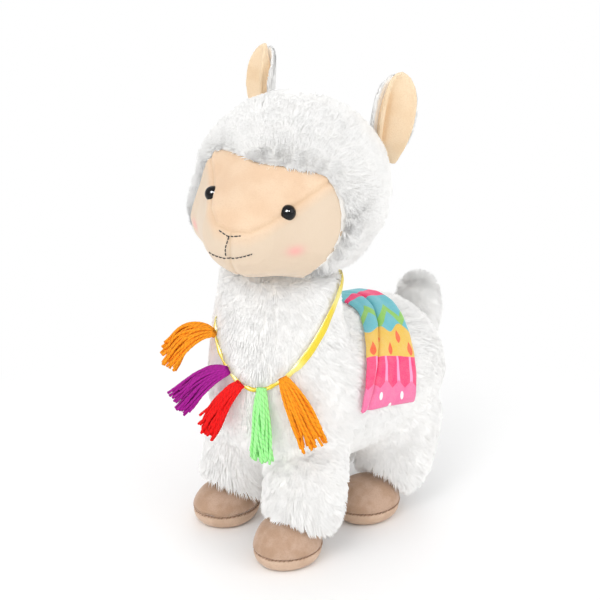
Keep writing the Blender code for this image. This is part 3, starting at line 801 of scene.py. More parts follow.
def drawn_tube(
    bm: bmesh.types.BMesh,
    line: Sequence[Vector],
    radius_at: Callable[[float, float], float],
    sides: int,
) -> dict[bmesh.types.BMVert, tuple[int, int]]:
    """Draws a sphere out along a line, so that it becomes a tube with closed ends.

    Args:
        bm: where it is added.
        line: the middles of its rings.
        radius_at: its radius at a share of its length and a turn round it.
        sides: how many sides it has.

    Returns:
        The ring and the side of each of its points.
    """
    count = len(line)
    made = bmesh.ops.create_uvsphere(bm, u_segments=sides, v_segments=count + 1, radius=1.0)
    across = (line[1] - line[0]).orthogonal().normalized()
    frames = []
    for index, middle in enumerate(line):
        way = line[min(index + 1, count - 1)] - line[max(index - 1, 0)]
        across = (across - way * across.dot(way) / way.length_squared).normalized()
        frames.append((middle, across.copy(), way.cross(across).normalized()))
    spots = {}
    for vert in made["verts"]:
        level = round(math.acos(max(-1.0, min(1.0, vert.co.z))) / math.pi * (count + 1))
        turn = math.atan2(vert.co.y, vert.co.x)
        ring = min(max(level - 1, 0), count - 1)
        middle, first, second = frames[ring]
        spots[vert] = (ring, round(turn / math.tau * sides) % sides)
        if level in (0, count + 1):
            vert.co = middle
            continue
        radius = radius_at(ring / (count - 1), turn)
        vert.co = middle + (first * math.cos(turn) + second * math.sin(turn)) * radius
    return spots


def spun(
    profile: Sequence[tuple[float, float]],
    place: Matrix,
    turns: int,
) -> bmesh.types.BMesh:
    """A closed form from a profile of radius and height that is spun round an axis.

    Args:
        profile: from one end of the axis to the other.
        place: where the axis goes.
        turns: how many steps make the full turn.

    Returns:
        The form.
    """
    bm = bmesh.new()
    verts = [bm.verts.new((radius, 0, height)) for radius, height in profile]
    edges = [bm.edges.new(pair) for pair in zip(verts, verts[1:])]
    bmesh.ops.spin(
        bm,
        geom=verts + edges,
        cent=(0, 0, 0),
        axis=(0, 0, 1),
        angle=math.tau,
        steps=turns,
        use_merge=True,
    )
    bmesh.ops.remove_doubles(bm, verts=bm.verts, dist=0.01 * MM)
    bmesh.ops.recalc_face_normals(bm, faces=bm.faces)
    bmesh.ops.transform(bm, matrix=place, verts=bm.verts)
    return bm


def outer_hit(tree: BVHTree, inside: Vector, way: Vector) -> tuple[Vector, Vector]:
    """Where a ray from far out, aimed at a point inside, first meets a surface.

    Args:
        tree: the surface.
        inside: the point.
        way: the direction from the point to where the ray starts.

    Returns:
        The place and the normal there, which points out.
    """
    place, normal, _, _ = tree.ray_cast(inside + way * 0.4, -way)
    if normal.dot(way) < 0:
        normal = -normal
    return place, normal


@dataclass
class Pile:
    """Long pile on a skin, one tuft on each small face."""

    length: float = 5.2 * MM
    lean: float = 1.9
    lock_size: float = 6.0 * MM
    gather: float = 0.38
    ragged: float = 0.3
    swirl: float = 0.9
    swirl_size: float = 16 * MM
    stray: float = 0.12
    tone_size: float = 9 * MM
    seed: int = 7

    def grow(
        self,
        bm: bmesh.types.BMesh,
        length_at: Callable[[Vector, Vector], float],
        comb_at: Callable[[Vector, Vector], Vector],
    ) -> None:
        """Pulls the middle of each face out into a tuft and writes the map strand.

        Args:
            bm: the skin, of small triangles.
            length_at: the share of the full length at a place with a normal, 0 for a bare face.
            comb_at: the way that the pile lies there, shorter than 1.
        """
        dice = random.Random(self.seed)
        strand = bm.loops.layers.uv.new("strand")
        baked = bm.loops.layers.uv.new("OFBake")
        soft = bm.verts.layers.float_vector.new("soft_normal")
        bm.normal_update()
        for vert in bm.verts:
            vert[soft] = vert.normal
        shares = {}
        for face in bm.faces:
            share = length_at(face.calc_center_median(), face.normal)
            if share > 0:
                shares[face] = share
        rooted = [
            (face.calc_center_median(), self.soft_normal(face), share) for face, share in shares.items()
        ]
        made = bmesh.ops.poke(bm, faces=list(shares))
        tips = set()
        for vert, (root, normal, share) in zip(made["verts"], rooted, strict=True):
            vert.co = self.tip_of(root, normal, share, comb_at(root, normal), dice)
            vert[soft] = normal
            tips.add(vert)
        for face in bm.faces:
            tone = 0.5 + 0.4 * noise.noise(face.verts[0].co / self.tone_size)
            side = -0.02
            for loop in face.loops:
                if loop.vert in tips:
                    place = (tone, 0.98)
                else:
                    place = (tone + side, 0.02)
                    side += 0.02
                loop[strand].uv = place
                loop[baked].uv = place

    def soft_normal(self, face: bmesh.types.BMFace) -> Vector:
        """The skin's smooth normal at a face."""
        return sum((vert.normal for vert in face.verts), Vector()).normalized()

    def tip_of(
        self,
        root: Vector,
        normal: Vector,
        share: float,
        comb: Vector,
        dice: random.Random,
    ) -> Vector:
        """Where the tuft on a root ends.

        Args:
            root: the middle of its face.
            normal: the way out of the skin.
            share: its share of the full length.
            comb: the way that the pile lies.
            dice: the source of its own irregularity.

        Returns:
            The tip.
        """
        swirl = noise.noise_vector(root / self.swirl_size) * self.swirl
        own = Vector((dice.gauss(0, 1), dice.gauss(0, 1), dice.gauss(0, 1))) * self.stray
        lie = comb * self.lean + swirl + own
        lie -= normal * lie.dot(normal)
        length = self.length * share * (1 - self.ragged * dice.random())
        reach = (normal + lie).normalized() * length
        middle = Vector(noise.voronoi(root / self.lock_size)[1][0]) * self.lock_size
        towards = middle - root
        towards -= normal * towards.dot(normal)
        return root + reach + towards * self.gather * min(share, 1)


# The parts of the toy


@dataclass
class Skeleton:
    """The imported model, and the measures that several parts of the toy share."""

    frame: dict
    head_centre: Vector = field(default_factory=lambda: Vector((0, -26 * MM, 214 * MM)))
    head_turn: float = 19.0
    head_tilt: float = 5.0

    def node(self, name: str) -> bpy.types.Object:
        """A CAD node."""
        return self.frame["nodes"][name]

    def tree(self, *names: str) -> BVHTree:
        """A search tree of CAD nodes."""
        return tree_of([self.node(name) for name in names])

    def head_place(self) -> Matrix:
        """The head's own axes.

        Returns:
            Its middle, with its left as X, its back as Y and its top as Z.
        """
        turn = Matrix.Rotation(math.radians(self.head_turn), 4, "Z")
        tilt = Matrix.Rotation(math.radians(self.head_tilt), 4, "Y")
        return Matrix.Translation(self.head_centre) @ turn @ tilt

    def finish(self, piece: bpy.types.Object, slot: str, *nodes: str) -> bpy.types.Object:
        """Puts a finished piece in the place of CAD nodes.

        Args:
            piece: the piece.
            slot: the record's material slot; not used.
            *nodes: the CAD nodes that it stands for.

        Returns:
            The piece.
        """
        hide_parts(*nodes)
        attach(piece, "root")
        LOG.info("%s: %d faces", piece.name, len(piece.data.polygons))
        return piece


@dataclass
class Piled:
    """A stuffed piece under long pile. The cloth is sunk by the depth of the pile."""

    name: str
    nodes: tuple[str, ...]
    overlap: float = 0.8 * MM
    sink: float = 2.4 * MM
    form_voxel: float = 3.0 * MM
    skin_voxel: float = 1.3 * MM
    pressure: float = 4.0
    swell: float = 1.5 * MM
    pile: Pile = field(default_factory=Pile)

    def form(self) -> tuple[str, ...]:
        """The CAD nodes whose joint form the cloth follows."""
        return self.nodes

    def skin(self, skeleton: Skeleton) -> bmesh.types.BMesh:
        """The cloth under the pile.

        Args:
            skeleton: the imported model.

        Returns:
            Its form.
        """
        bm = merged_copy([skeleton.node(name) for name in self.form()], self.overlap)
        bm = remeshed(bm, self.form_voxel, 3)
        for vert in bm.verts:
            vert.co -= vert.normal * (self.sink + self.overlap)
        bm = remeshed(bm, self.form_voxel, 1)
        if self.swell > 0:
            bm = swollen(bm, self.pressure, self.swell)
        bm = remeshed(bm, self.skin_voxel, 2)
        bmesh.ops.triangulate(bm, faces=bm.faces)
        return bm

    def hides(self) -> tuple[str, ...]:
        """The CAD nodes that this piece goes into."""
        return ()

    def comb(self, place: Vector, normal: Vector) -> Vector:
        """The way that the pile lies."""
        return Vector((0, 0, -1))

    def share(self, place: Vector, normal: Vector) -> float:
        """The share of the full length at a place."""
        return 1.0

    def build(
        self,
        skeleton: Skeleton,
        material: bpy.types.Material,
        covers: Sequence[BVHTree] = (),
    ) -> bpy.types.Object:
        """Makes the piece.

        Args:
            skeleton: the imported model.
            material: the pile's finish.
            covers: what lies on the pile and presses it down.

        Returns:
            The piece.
        """
        hides = [skeleton.tree(name) for name in self.hides()]

        def share(place: Vector, normal: Vector) -> float:
            """The share of the full length, with what is near the piece counted in.

            Args:
                place: a place on the skin.
                normal: the way out of it.

            Returns:
                The share, 0 under a cover or inside another piece.
            """
            if any(tree.ray_cast(place, normal, 11 * MM)[0] is not None for tree in covers):
                return 0.0
            if any(is_inside(tree, place) for tree in hides):
                return 0.0
            return self.share(place, normal)

        bm = self.skin(skeleton)
        self.pile.grow(bm, share, self.comb)
        piece = new_piece(self.name, bm, material)
        return skeleton.finish(piece, "white_plush", *self.nodes)


@dataclass
class Coat(Piled):
    """The stuffed body and its four legs under one coat."""

    name: str = "plush_coat"
    nodes: tuple[str, ...] = (
        "body",
        "leg_front_left",
        "leg_front_right",
        "leg_rear_left",
        "leg_rear_right",
    )
    skin_voxel: float = 1.69 * MM
    longer_below: float = 42 * MM
    longer_over: float = 16 * MM
    front_legs_end: float = -25 * MM
    front_right_extra: float = 1.5
    other_extra: float = 0.6

    def hides(self) -> tuple[str, ...]:
        """The head."""
        return ("head",)

    def comb(self, place: Vector, normal: Vector) -> Vector:
        """Back along the trunk and down on the neck and the legs."""
        return Vector((0, 0.45, -0.9))

    def share(self, place: Vector, normal: Vector) -> float:
        """The share of the full length at a place.

        Args:
            place: a place on the skin.
            normal: the way out of it; not used.

        Returns:
            1, and more at the lower ends of the legs, most of all over the front right hoof.
        """
        low = clamped((self.longer_below - place.z) / self.longer_over)
        front_right = place.x < 0 and place.y < self.front_legs_end
        return 1.0 + (self.front_right_extra if front_right else self.other_extra) * low


@dataclass
class Hood(Piled):
    """The stuffed head under its pile, open at the face."""

    name: str = "plush_hood"
    nodes: tuple[str, ...] = ("head",)
    face: "Face | None" = None
    into_head: Matrix | None = None
    skin_voxel: float = 1.18 * MM
    overhang: float = -0.9 * MM
    face_aim: Vector = field(default_factory=lambda: Vector((0.32, -0.94, -0.1)))
    away: float = 0.9
    edge_lift: float = 0.95
    edge_width: float = 8 * MM
    droop: float = 0.2

    def form(self) -> tuple[str, ...]:
        """The head with the face's panels, so that the pile runs on to the face's outline."""
        return (*self.nodes, *self.face.nodes)

    def hides(self) -> tuple[str, ...]:
        """The neck."""
        return ("body",)

    def off_face(self, place: Vector) -> float:
        """How far a place is out of the face's outline, which the back of the head is far from."""
        spot = self.into_head @ place
        return self.face.outside(Vector((spot.x, spot.z))) if spot.y < 0 else 1.0

    def comb(self, place: Vector, normal: Vector) -> Vector:
        """Away from the face, and less so at its edge, where the pile stands up."""
        near = clamped(1 - self.off_face(place) / self.edge_width)
        return self.face_aim * (self.edge_lift * near - self.away) - Vector((0, 0, self.droop))

    def share(self, place: Vector, normal: Vector) -> float:
        """Nothing on the face."""
        return 0.0 if self.off_face(place) < self.overhang else 1.0


@dataclass
class Tail(Piled):
    """A round tuft of a tail."""

    name: str = "plush_tail"
    nodes: tuple[str, ...] = ("tail",)
    form_voxel: float = 2.5 * MM
    skin_voxel: float = 1.1 * MM
    pile: Pile = field(default_factory=lambda: Pile(length=4.6 * MM, lean=1.7, ragged=0.2))
    drawn_down: float = 10 * MM
    drawn_below: float = 146 * MM
    drawn_over: float = 20 * MM
    parting: float = 140 * MM
    parting_width: float = 16 * MM

    def skin(self, skeleton: Skeleton) -> bmesh.types.BMesh:
        """The cloth under the pile, drawn down so that it runs into the rump.

        Args:
            skeleton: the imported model.

        Returns:
            Its form.
        """
        bm = super().skin(skeleton)
        for vert in bm.verts:
            low = clamped((self.drawn_below - vert.co.z) / self.drawn_over)
            vert.co.z -= self.drawn_down * low**2
        bm.normal_update()
        return bm

    def hides(self) -> tuple[str, ...]:
        """The rump."""
        return ("body",)

    def comb(self, place: Vector, normal: Vector) -> Vector:
        """Up at the top, and down to the rump below."""
        lift = (place.z - self.parting) / self.parting_width
        return Vector((0, 0.2, max(-1.0, min(1.0, lift))))


class Side(Enum):
    """A side of the toy."""

    LEFT = 1
    RIGHT = -1

    @property
    def word(self) -> str:
        """The side's name in a node's name."""
        return self.name.lower()


@dataclass
class Leaf:
    """The form of an ear: a leaf that is curled round its length."""

    side: Side
    base: Vector = field(default_factory=lambda: Vector((36 * MM, 43 * MM, 11 * MM)))
    height: float = 54.0 * MM
    half_width: float = 18.8 * MM
    cup_radius: float = 15 * MM
    widest: float = 0.56
    foot_share: float = 0.45
    tip_fullness: float = 2.3
    opens: float = 36.0
    lean: float = 4.0

    def half(self, up: float) -> float:
        """How wide the leaf is from its middle line to its edge.

        Args:
            up: the share of the height.

        Returns:
            The width, which grows from the foot to the widest place and rounds off at the tip.
        """
        if up < self.widest:
            rise = math.sin(up / self.widest * math.pi / 2)
            return self.half_width * (self.foot_share + (1 - self.foot_share) * rise)
        fall = (up - self.widest) / (1 - self.widest)
        return self.half_width * math.sqrt(max(0.0, 1 - fall**self.tip_fullness))

    def place(self, skeleton: Skeleton) -> Matrix:
        """Where its foot is.

        Args:
            skeleton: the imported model.

        Returns:
            The place, with its length along Z and its cup open along Y.
        """
        side = self.side.value
        foot = Matrix.Translation((side * self.base.x, self.base.y, self.base.z))
        lean = Matrix.Rotation(math.radians(side * self.lean), 4, "Y")
        opens = Matrix.Rotation(math.radians(180 + side * self.opens), 4, "Z")
        return skeleton.head_place() @ foot @ lean @ opens

    def cloth(
        self,
        skeleton: Skeleton,
        lift_at: Callable[[float, float], float],
        rim: float,
        thickness: float,
        voxel: float,
    ) -> bmesh.types.BMesh:
        """One cloth of the ear.

        Args:
            skeleton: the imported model.
            lift_at: how far into the cup its middle is, at a share across, positive towards the
                head, and a share of the height.
            rim: how far its edge stays back from the leaf's.
            thickness: how thick it is.
            voxel: the size of its faces.

        Returns:
            Its closed form.
        """
        bm = bmesh.new()
        made = bmesh.ops.create_grid(bm, x_segments=26, y_segments=40, size=1)
        for vert in made["verts"]:
            across = vert.co.x
            up = math.sin((vert.co.y + 1) * math.pi / 4)
            half = max(self.half(up) - rim, 0.3 * MM)
            radius = self.cup_radius - lift_at(across * self.side.value, up)
            angle = across * half / self.cup_radius
            vert.co.x = radius * math.sin(angle)
            vert.co.y = self.cup_radius - radius * math.cos(angle)
            vert.co.z = up * (self.height - rim)
        bmesh.ops.transform(bm, matrix=self.place(skeleton), verts=bm.verts)
        return remeshed(bm, voxel, 4, thickness)


@dataclass
class EarBack(Piled):
    """The outer side of an ear, in short pile."""

    side: Side = Side.LEFT
    skin_voxel: float = 0.9 * MM
    pile: Pile = field(
        default_factory=lambda: Pile(length=1.8 * MM, lean=1.6, lock_size=4 * MM, gather=0.2)
    )
    lift: float = 1.2 * MM
    rim: float = 2.4 * MM
    thickness: float = 2.0 * MM

    def skin(self, skeleton: Skeleton) -> bmesh.types.BMesh:
        """The cloth under the pile.

        Args:
            skeleton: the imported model.

        Returns:
            Its form.
        """
        leaf = Leaf(self.side)
        bm = leaf.cloth(skeleton, lambda across, up: self.lift, self.rim, self.thickness, self.skin_voxel)
        bmesh.ops.triangulate(bm, faces=bm.faces)
        return bm

    def hides(self) -> tuple[str, ...]:
        """The head."""
        return ("head",)

    def comb(self, place: Vector, normal: Vector) -> Vector:
        """Towards the ear's tip."""
        return Vector((0, 0, 1))


@dataclass
class EarLining:
    """The velour inside of an ear: a rolled lip next to the head, a hollow and a wide cheek."""

    side: Side
    rim: float = 0.1 * MM
    thickness: float = 1.8 * MM
    voxel: float = 0.8 * MM

    def lift(self, across: float, up: float) -> float:
        """How far into the cup the cloth's middle is.

        Args:
            across: from -1 at the outer edge to 1 at the edge next to the head.
            up: the share of the height.

        Returns:
            The distance.
        """
        middle = math.sin(math.pi * min(1.0, up / 0.92))
        lip = bell(across - 0.84, 0.17) * 2.2
        hollow = bell(across - 0.42, 0.19) * 3.4 * middle
        cheek = bell(across + 0.30, 0.45) * 0.9 * middle
        edge = 1.6 * max(0.0, -across) ** 4
        return (4.8 + lip - hollow + cheek - edge) * MM

    def build(self, skeleton: Skeleton, material: bpy.types.Material) -> bpy.types.Object:
        """Makes the lining.

        Args:
            skeleton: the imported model.
            material: the velour.

        Returns:
            The piece.
        """
        bm = Leaf(self.side).cloth(skeleton, self.lift, self.rim, self.thickness, self.voxel)
        piece = new_piece(f"ear_velour_{self.side.word}", bm, material)
        return skeleton.finish(piece, "beige_velour", f"ear_lining_{self.side.word}")


@dataclass
class Face:
    """Three velour panels sewn together along seams that sink into the stuffing."""

    eye_x: float = 23.5 * MM
    eye_z: float = 6.5 * MM
    nose_z: float = -5.0 * MM
    seam_top: tuple[float, float] = (39 * MM, 22 * MM)
    chin_z: float = -60 * MM
    voxel: float = 1.0 * MM
    smoothing: int = 10
    groove_depth: float = 0.8 * MM
    groove_width: float = 1.0 * MM
    puff: float = 0.5 * MM
    puff_off: float = 3.2 * MM
    puff_width: float = 2.0 * MM
    tuck: float = 8.0 * MM
    tuck_within: float = 1.2 * MM
    tuck_over: float = 3.2 * MM
    overlap: float = 0.45 * MM
    edge_shade: float = 0.75
    edge_width: float = 1.1 * MM
    seam_shade: float = 0.24
    seam_width: float = 0.7 * MM
    cheek_fade: float = 9 * MM
    blush_size: float = 3.1 * MM
    blushes: tuple[tuple[float, float], ...] = ((29.6 * MM, -15.0 * MM), (-37.5 * MM, -19.5 * MM))
    nodes: tuple[str, ...] = ("forehead_panel", "cheek_panel_left", "cheek_panel_right")

    def outline(self) -> list[Vector]:
        """What shows of the face, seen from the front of the head.

        Returns:
            The corners of its outline.
        """
        corners = [
            (-45.0, -18.0),
            (-41.5, -7.0),
            (-39.5, 2.0),
            (-39.3, 11.0),
            (-37.2, 17.0),
            (-33.6, 23.0),
            (-27.0, 26.6),
            (-17.0, 27.2),
            (-5.4, 25.8),
            (3.7, 26.0),
            (12.1, 26.4),
            (21.0, 25.6),
            (30.0, 25.0),
            (36.0, 21.5),
            (40.0, 16.6),
            (43.6, 10.4),
            (46.3, 2.5),
            (47.3, -5.5),
            (46.8, -11.0),
            (44.6, -18.2),
            (40.5, -25.5),
            (34.0, -33.0),
            (27.0, -39.5),
            (22.0, -60.0),
            (-30.0, -60.0),
            (-37.5, -39.0),
            (-43.0, -28.0),
        ]
        return [Vector(corner) * MM for corner in corners]

    def outside(self, spot: Vector) -> float:
        """How far a spot of the front view is out of the outline.

        Args:
            spot: the spot.

        Returns:
            The distance, less than 0 inside the outline.
        """
        corners = self.outline()
        nearest = 1.0
        inside = False
        for start, end in zip(corners, corners[1:] + corners[:1]):
            nearest = min(nearest, off_piece(spot, start, end))
            way = end - start
            if (start.y > spot.y) != (end.y > spot.y):
                if spot.x < start.x + (spot.y - start.y) * way.x / way.y:
                    inside = not inside
        return -nearest if inside else nearest

    def brow(self) -> list[tuple[float, float]]:
        """The seam between forehead and cheek.

        Returns:
            Its corners, from the nose to past the outline.
        """
        rise = self.eye_z - self.nose_z
        return [
            (0.0, self.nose_z),
            (0.45 * self.eye_x, self.nose_z + 0.12 * rise),
            (0.75 * self.eye_x, self.nose_z + 0.5 * rise),
            (self.eye_x, self.eye_z),
            self.seam_top,
            (1.5 * self.seam_top[0], 3.0 * self.seam_top[1]),
        ]

    def seams(self) -> list[tuple[Vector, Vector]]:
        """The seams seen from the front of the head.

        Returns:
            The ends of their short straight pieces.
        """
        pieces = []
        for side in Side:
            line = [Vector((side.value * across, up)) for across, up in self.brow()]
            pieces += list(zip(line, line[1:]))
        pieces.append((Vector((0, self.nose_z)), Vector((0, self.chin_z))))
        return pieces

    def seam_height(self, across: float) -> float:
        """How high the seam between forehead and cheek is at a distance from the middle."""
        places, heights = zip(*self.brow()[:-1])
        return float(np.interp(across, places, heights))

    def off_seams(self, spot: Vector) -> float:
        """How far a spot of the front view is from the nearest seam."""
        return min(off_piece(spot, start, end) for start, end in self.seams())

    def fields(self, spot: Vector, off: float, out: float) -> tuple[float, float, float, float]:
        """The fields of colour at a spot of the front view.

        Args:
            spot: the spot.
            off: how far it is from the nearest seam.
            out: how far it is out of the outline.

        Returns:
            The shares of blush, of painted shade at the seams and the edge, and of the lower face, and 1.
        """
        blush = sum(bell((spot - Vector(middle)).length, self.blush_size) for middle in self.blushes)
        # Painted shade where the face runs under the hood and along the grooves of its seams
        edge = clamped(1 + out / self.edge_width) * self.edge_shade
        seam = bell(off, self.seam_width) * self.seam_shade
        low = clamped((self.seam_height(abs(spot.x)) - spot.y) / self.cheek_fade)
        return min(1.0, blush), max(edge, seam), low, 1.0

    def build(self, skeleton: Skeleton, material: bpy.types.Material) -> bpy.types.Object:
        """Makes the face.

        Args:
            skeleton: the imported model.
            material: the velour.

        Returns:
            The piece.
        """
        bm = merged_copy([skeleton.node(name) for name in self.nodes], self.overlap)
        bm = remeshed(bm, self.voxel, self.smoothing)
        marks = bm.verts.layers.float_color.new("marks")
        into_head = skeleton.head_place().inverted()
        turned = into_head.to_3x3()
        for vert in bm.verts:
            place = into_head @ vert.co
            spot = Vector((place.x, place.z))
            off = self.off_seams(spot)
            out = self.outside(spot)
            vert[marks] = self.fields(spot, off, out)
            if (turned @ vert.normal).dot(place.normalized()) >= 0.1:
                puff = self.puff * bell(off - self.puff_off, self.puff_width)
                vert.co += vert.normal * (puff - self.groove_depth * bell(off, self.groove_width))
            sunk = clamped((out + self.tuck_within) / self.tuck_over)
            way = (vert.co - skeleton.head_centre).normalized()
            vert.co -= way * self.tuck * sunk**2 * (3 - 2 * sunk)
        smooth(bm, 0.3)
        return skeleton.finish(new_piece("velour_face", bm, material), "beige_velour", *self.nodes)


@dataclass
class Eye:
    """A black domed safety eye on its shank."""

    side: Side
    radius: float = 4.4 * MM
    height: float = 4.3 * MM
    packed_height: float = 4.0 * MM
    shank_radius: float = 1.5 * MM
    shank_length: float = 12 * MM
    steps: int = 12
    turns: int = 40

    def place(self, skeleton: Skeleton) -> Matrix:
        """Where the middle of the dome's base is.

        Args:
            skeleton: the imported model, whose eye gives the dome's top and the shank's end.

        Returns:
            The place, with the way out as Z.
        """
        verts = [vert.co for vert in skeleton.node(f"eye_{self.side.word}").data.vertices]
        far = [(vert - skeleton.head_centre).length for vert in verts]
        apex = verts[far.index(max(far))]
        deepest = sorted(verts, key=lambda vert: (vert - apex).length)[-16:]
        end = sum(deepest, Vector()) / len(deepest)
        way = (apex - end).normalized()
        base = apex - way * self.packed_height
        return Matrix.Translation(base) @ way.to_track_quat("Z", "Y").to_matrix().to_4x4()

    def build(self, skeleton: Skeleton, material: bpy.types.Material) -> bpy.types.Object:
        """Makes the eye.

        Args:
            skeleton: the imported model.
            material: the polished plastic.

        Returns:
            The piece.
        """
        turns = [step / self.steps * math.pi / 2 for step in range(self.steps + 1)]
        profile = [(self.radius * math.sin(turn), self.height * math.cos(turn)) for turn in turns]
        profile += [(self.radius, -0.3 * MM), (self.shank_radius, -0.4 * MM)]
        profile += [(self.shank_radius, -self.shank_length), (0, -self.shank_length)]
        bm = spun(profile, self.place(skeleton), self.turns)
        name = f"eye_{self.side.word}"
        return skeleton.finish(new_piece(f"bead_{name}", bm, material), "black_plastic", name)


@dataclass
class Embroidery:
    """Black back stitches on the face for the nose and the mouth."""

    tip: tuple[float, float] = (-0.8 * MM, -7.6 * MM)
    arm: tuple[float, float] = (6.6 * MM, 1.7 * MM)
    mouth_at: tuple[float, float] = (-1.6 * MM, -20.8 * MM)
    mouth_half: float = 13.8 * MM
    mouth_rise: float = 2.0 * MM
    mouth_tilt: float = 3.4 * MM
    radius: float = 0.34 * MM
    stitch: float = 2.3 * MM
    step: float = 0.35 * MM

    def nose(self) -> list[list[tuple[float, float]]]:
        """The nose, seen from the front.

        Returns:
            The line of its two arms and that of its stem, which ends just over the mouth.
        """
        x, z = self.tip
        across, rise = self.arm
        arms = [(x - across, z + rise), (x, z), (x + across, z + rise)]
        low_x = self.mouth_at[0] - 0.8 * MM
        low_z = self.mouth_at[1]
        return [arms, [(x, z), (low_x + 0.2 * MM, (z + low_z) / 2), (low_x, low_z + 0.6 * MM)]]

    def mouth(self) -> list[list[tuple[float, float]]]:
        """The smile, seen from the front.

        Returns:
            Its one line.
        """
        x, z = self.mouth_at
        shares = [step / 12 for step in range(-12, 13)]
        rises = [self.mouth_rise * share**2 + self.mouth_tilt * share for share in shares]
        return [[(x + share * self.mouth_half, z + rise) for share, rise in zip(shares, rises)]]

    def on_face(self, tree: BVHTree, place: Matrix, spot: tuple[float, float]) -> tuple[Vector, Vector]:
        """The place on the face behind a spot of the front view.

        Args:
            tree: the face.
            place: the head's axes.
            spot: the spot.

        Returns:
            The place and the normal there.
        """
        start = place @ Vector((spot[0], -0.3, spot[1]))
        way = place.to_3x3() @ Vector((0, 1, 0))
        hit, normal, _, _ = tree.ray_cast(start, way)
        return hit, normal

    def build(
        self,
        skeleton: Skeleton,
        face: bpy.types.Object,
        thread: bpy.types.Material,
    ) -> None:
        """Makes the nose and the mouth.

        Args:
            skeleton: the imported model.
            face: the velour face.
            thread: the finish.
        """
        tree = tree_of([face])
        place = skeleton.head_place()
        for name, lines in (("nose_stitching", self.nose()), ("mouth_stitching", self.mouth())):
            bm = bmesh.new()
            for line in lines:
                self.sew(bm, tree, place, line)
            skeleton.finish(new_piece(f"sewn_{name}", bm, thread), "black_thread", name)

    def sew(
        self,
        bm: bmesh.types.BMesh,
        tree: BVHTree,
        place: Matrix,
        line: list[tuple[float, float]],
    ) -> None:
        """Sews a line of stitches, each of which dives into the cloth at both ends.

        Args:
            bm: where they are added.
            tree: the face.
            place: the head's axes.
            line: the corners of the line, seen from the front.
        """
        spots = [self.on_face(tree, place, spot) for spot in self.evenly(line)]
        each = round(self.stitch / self.step)
        for start in range(0, len(spots) - 2, each):
            part = spots[start : start + each]
            if len(part) < 3:
                continue
            rings = []
            for index, (spot, normal) in enumerate(part):
                rise = math.sin(math.pi * (index + 0.3) / (len(part) - 0.4))
                rings.append(spot + normal * self.radius * (2.6 * rise - 1.7))
            drawn_tube(bm, rings, lambda share, turn: self.radius, 8)

    def evenly(self, line: list[tuple[float, float]]) -> list[tuple[float, float]]:
        """Spots about a step apart along a line.

        Args:
            line: its corners.

        Returns:
            The spots.
        """
        corners = [Vector(spot) for spot in line]
        spots = []
        for start, end in zip(corners, corners[1:]):
            count = max(1, round((end - start).length / self.step))
            spots += [tuple(start.lerp(end, index / count)) for index in range(count)]
        return [*spots, tuple(corners[-1])]


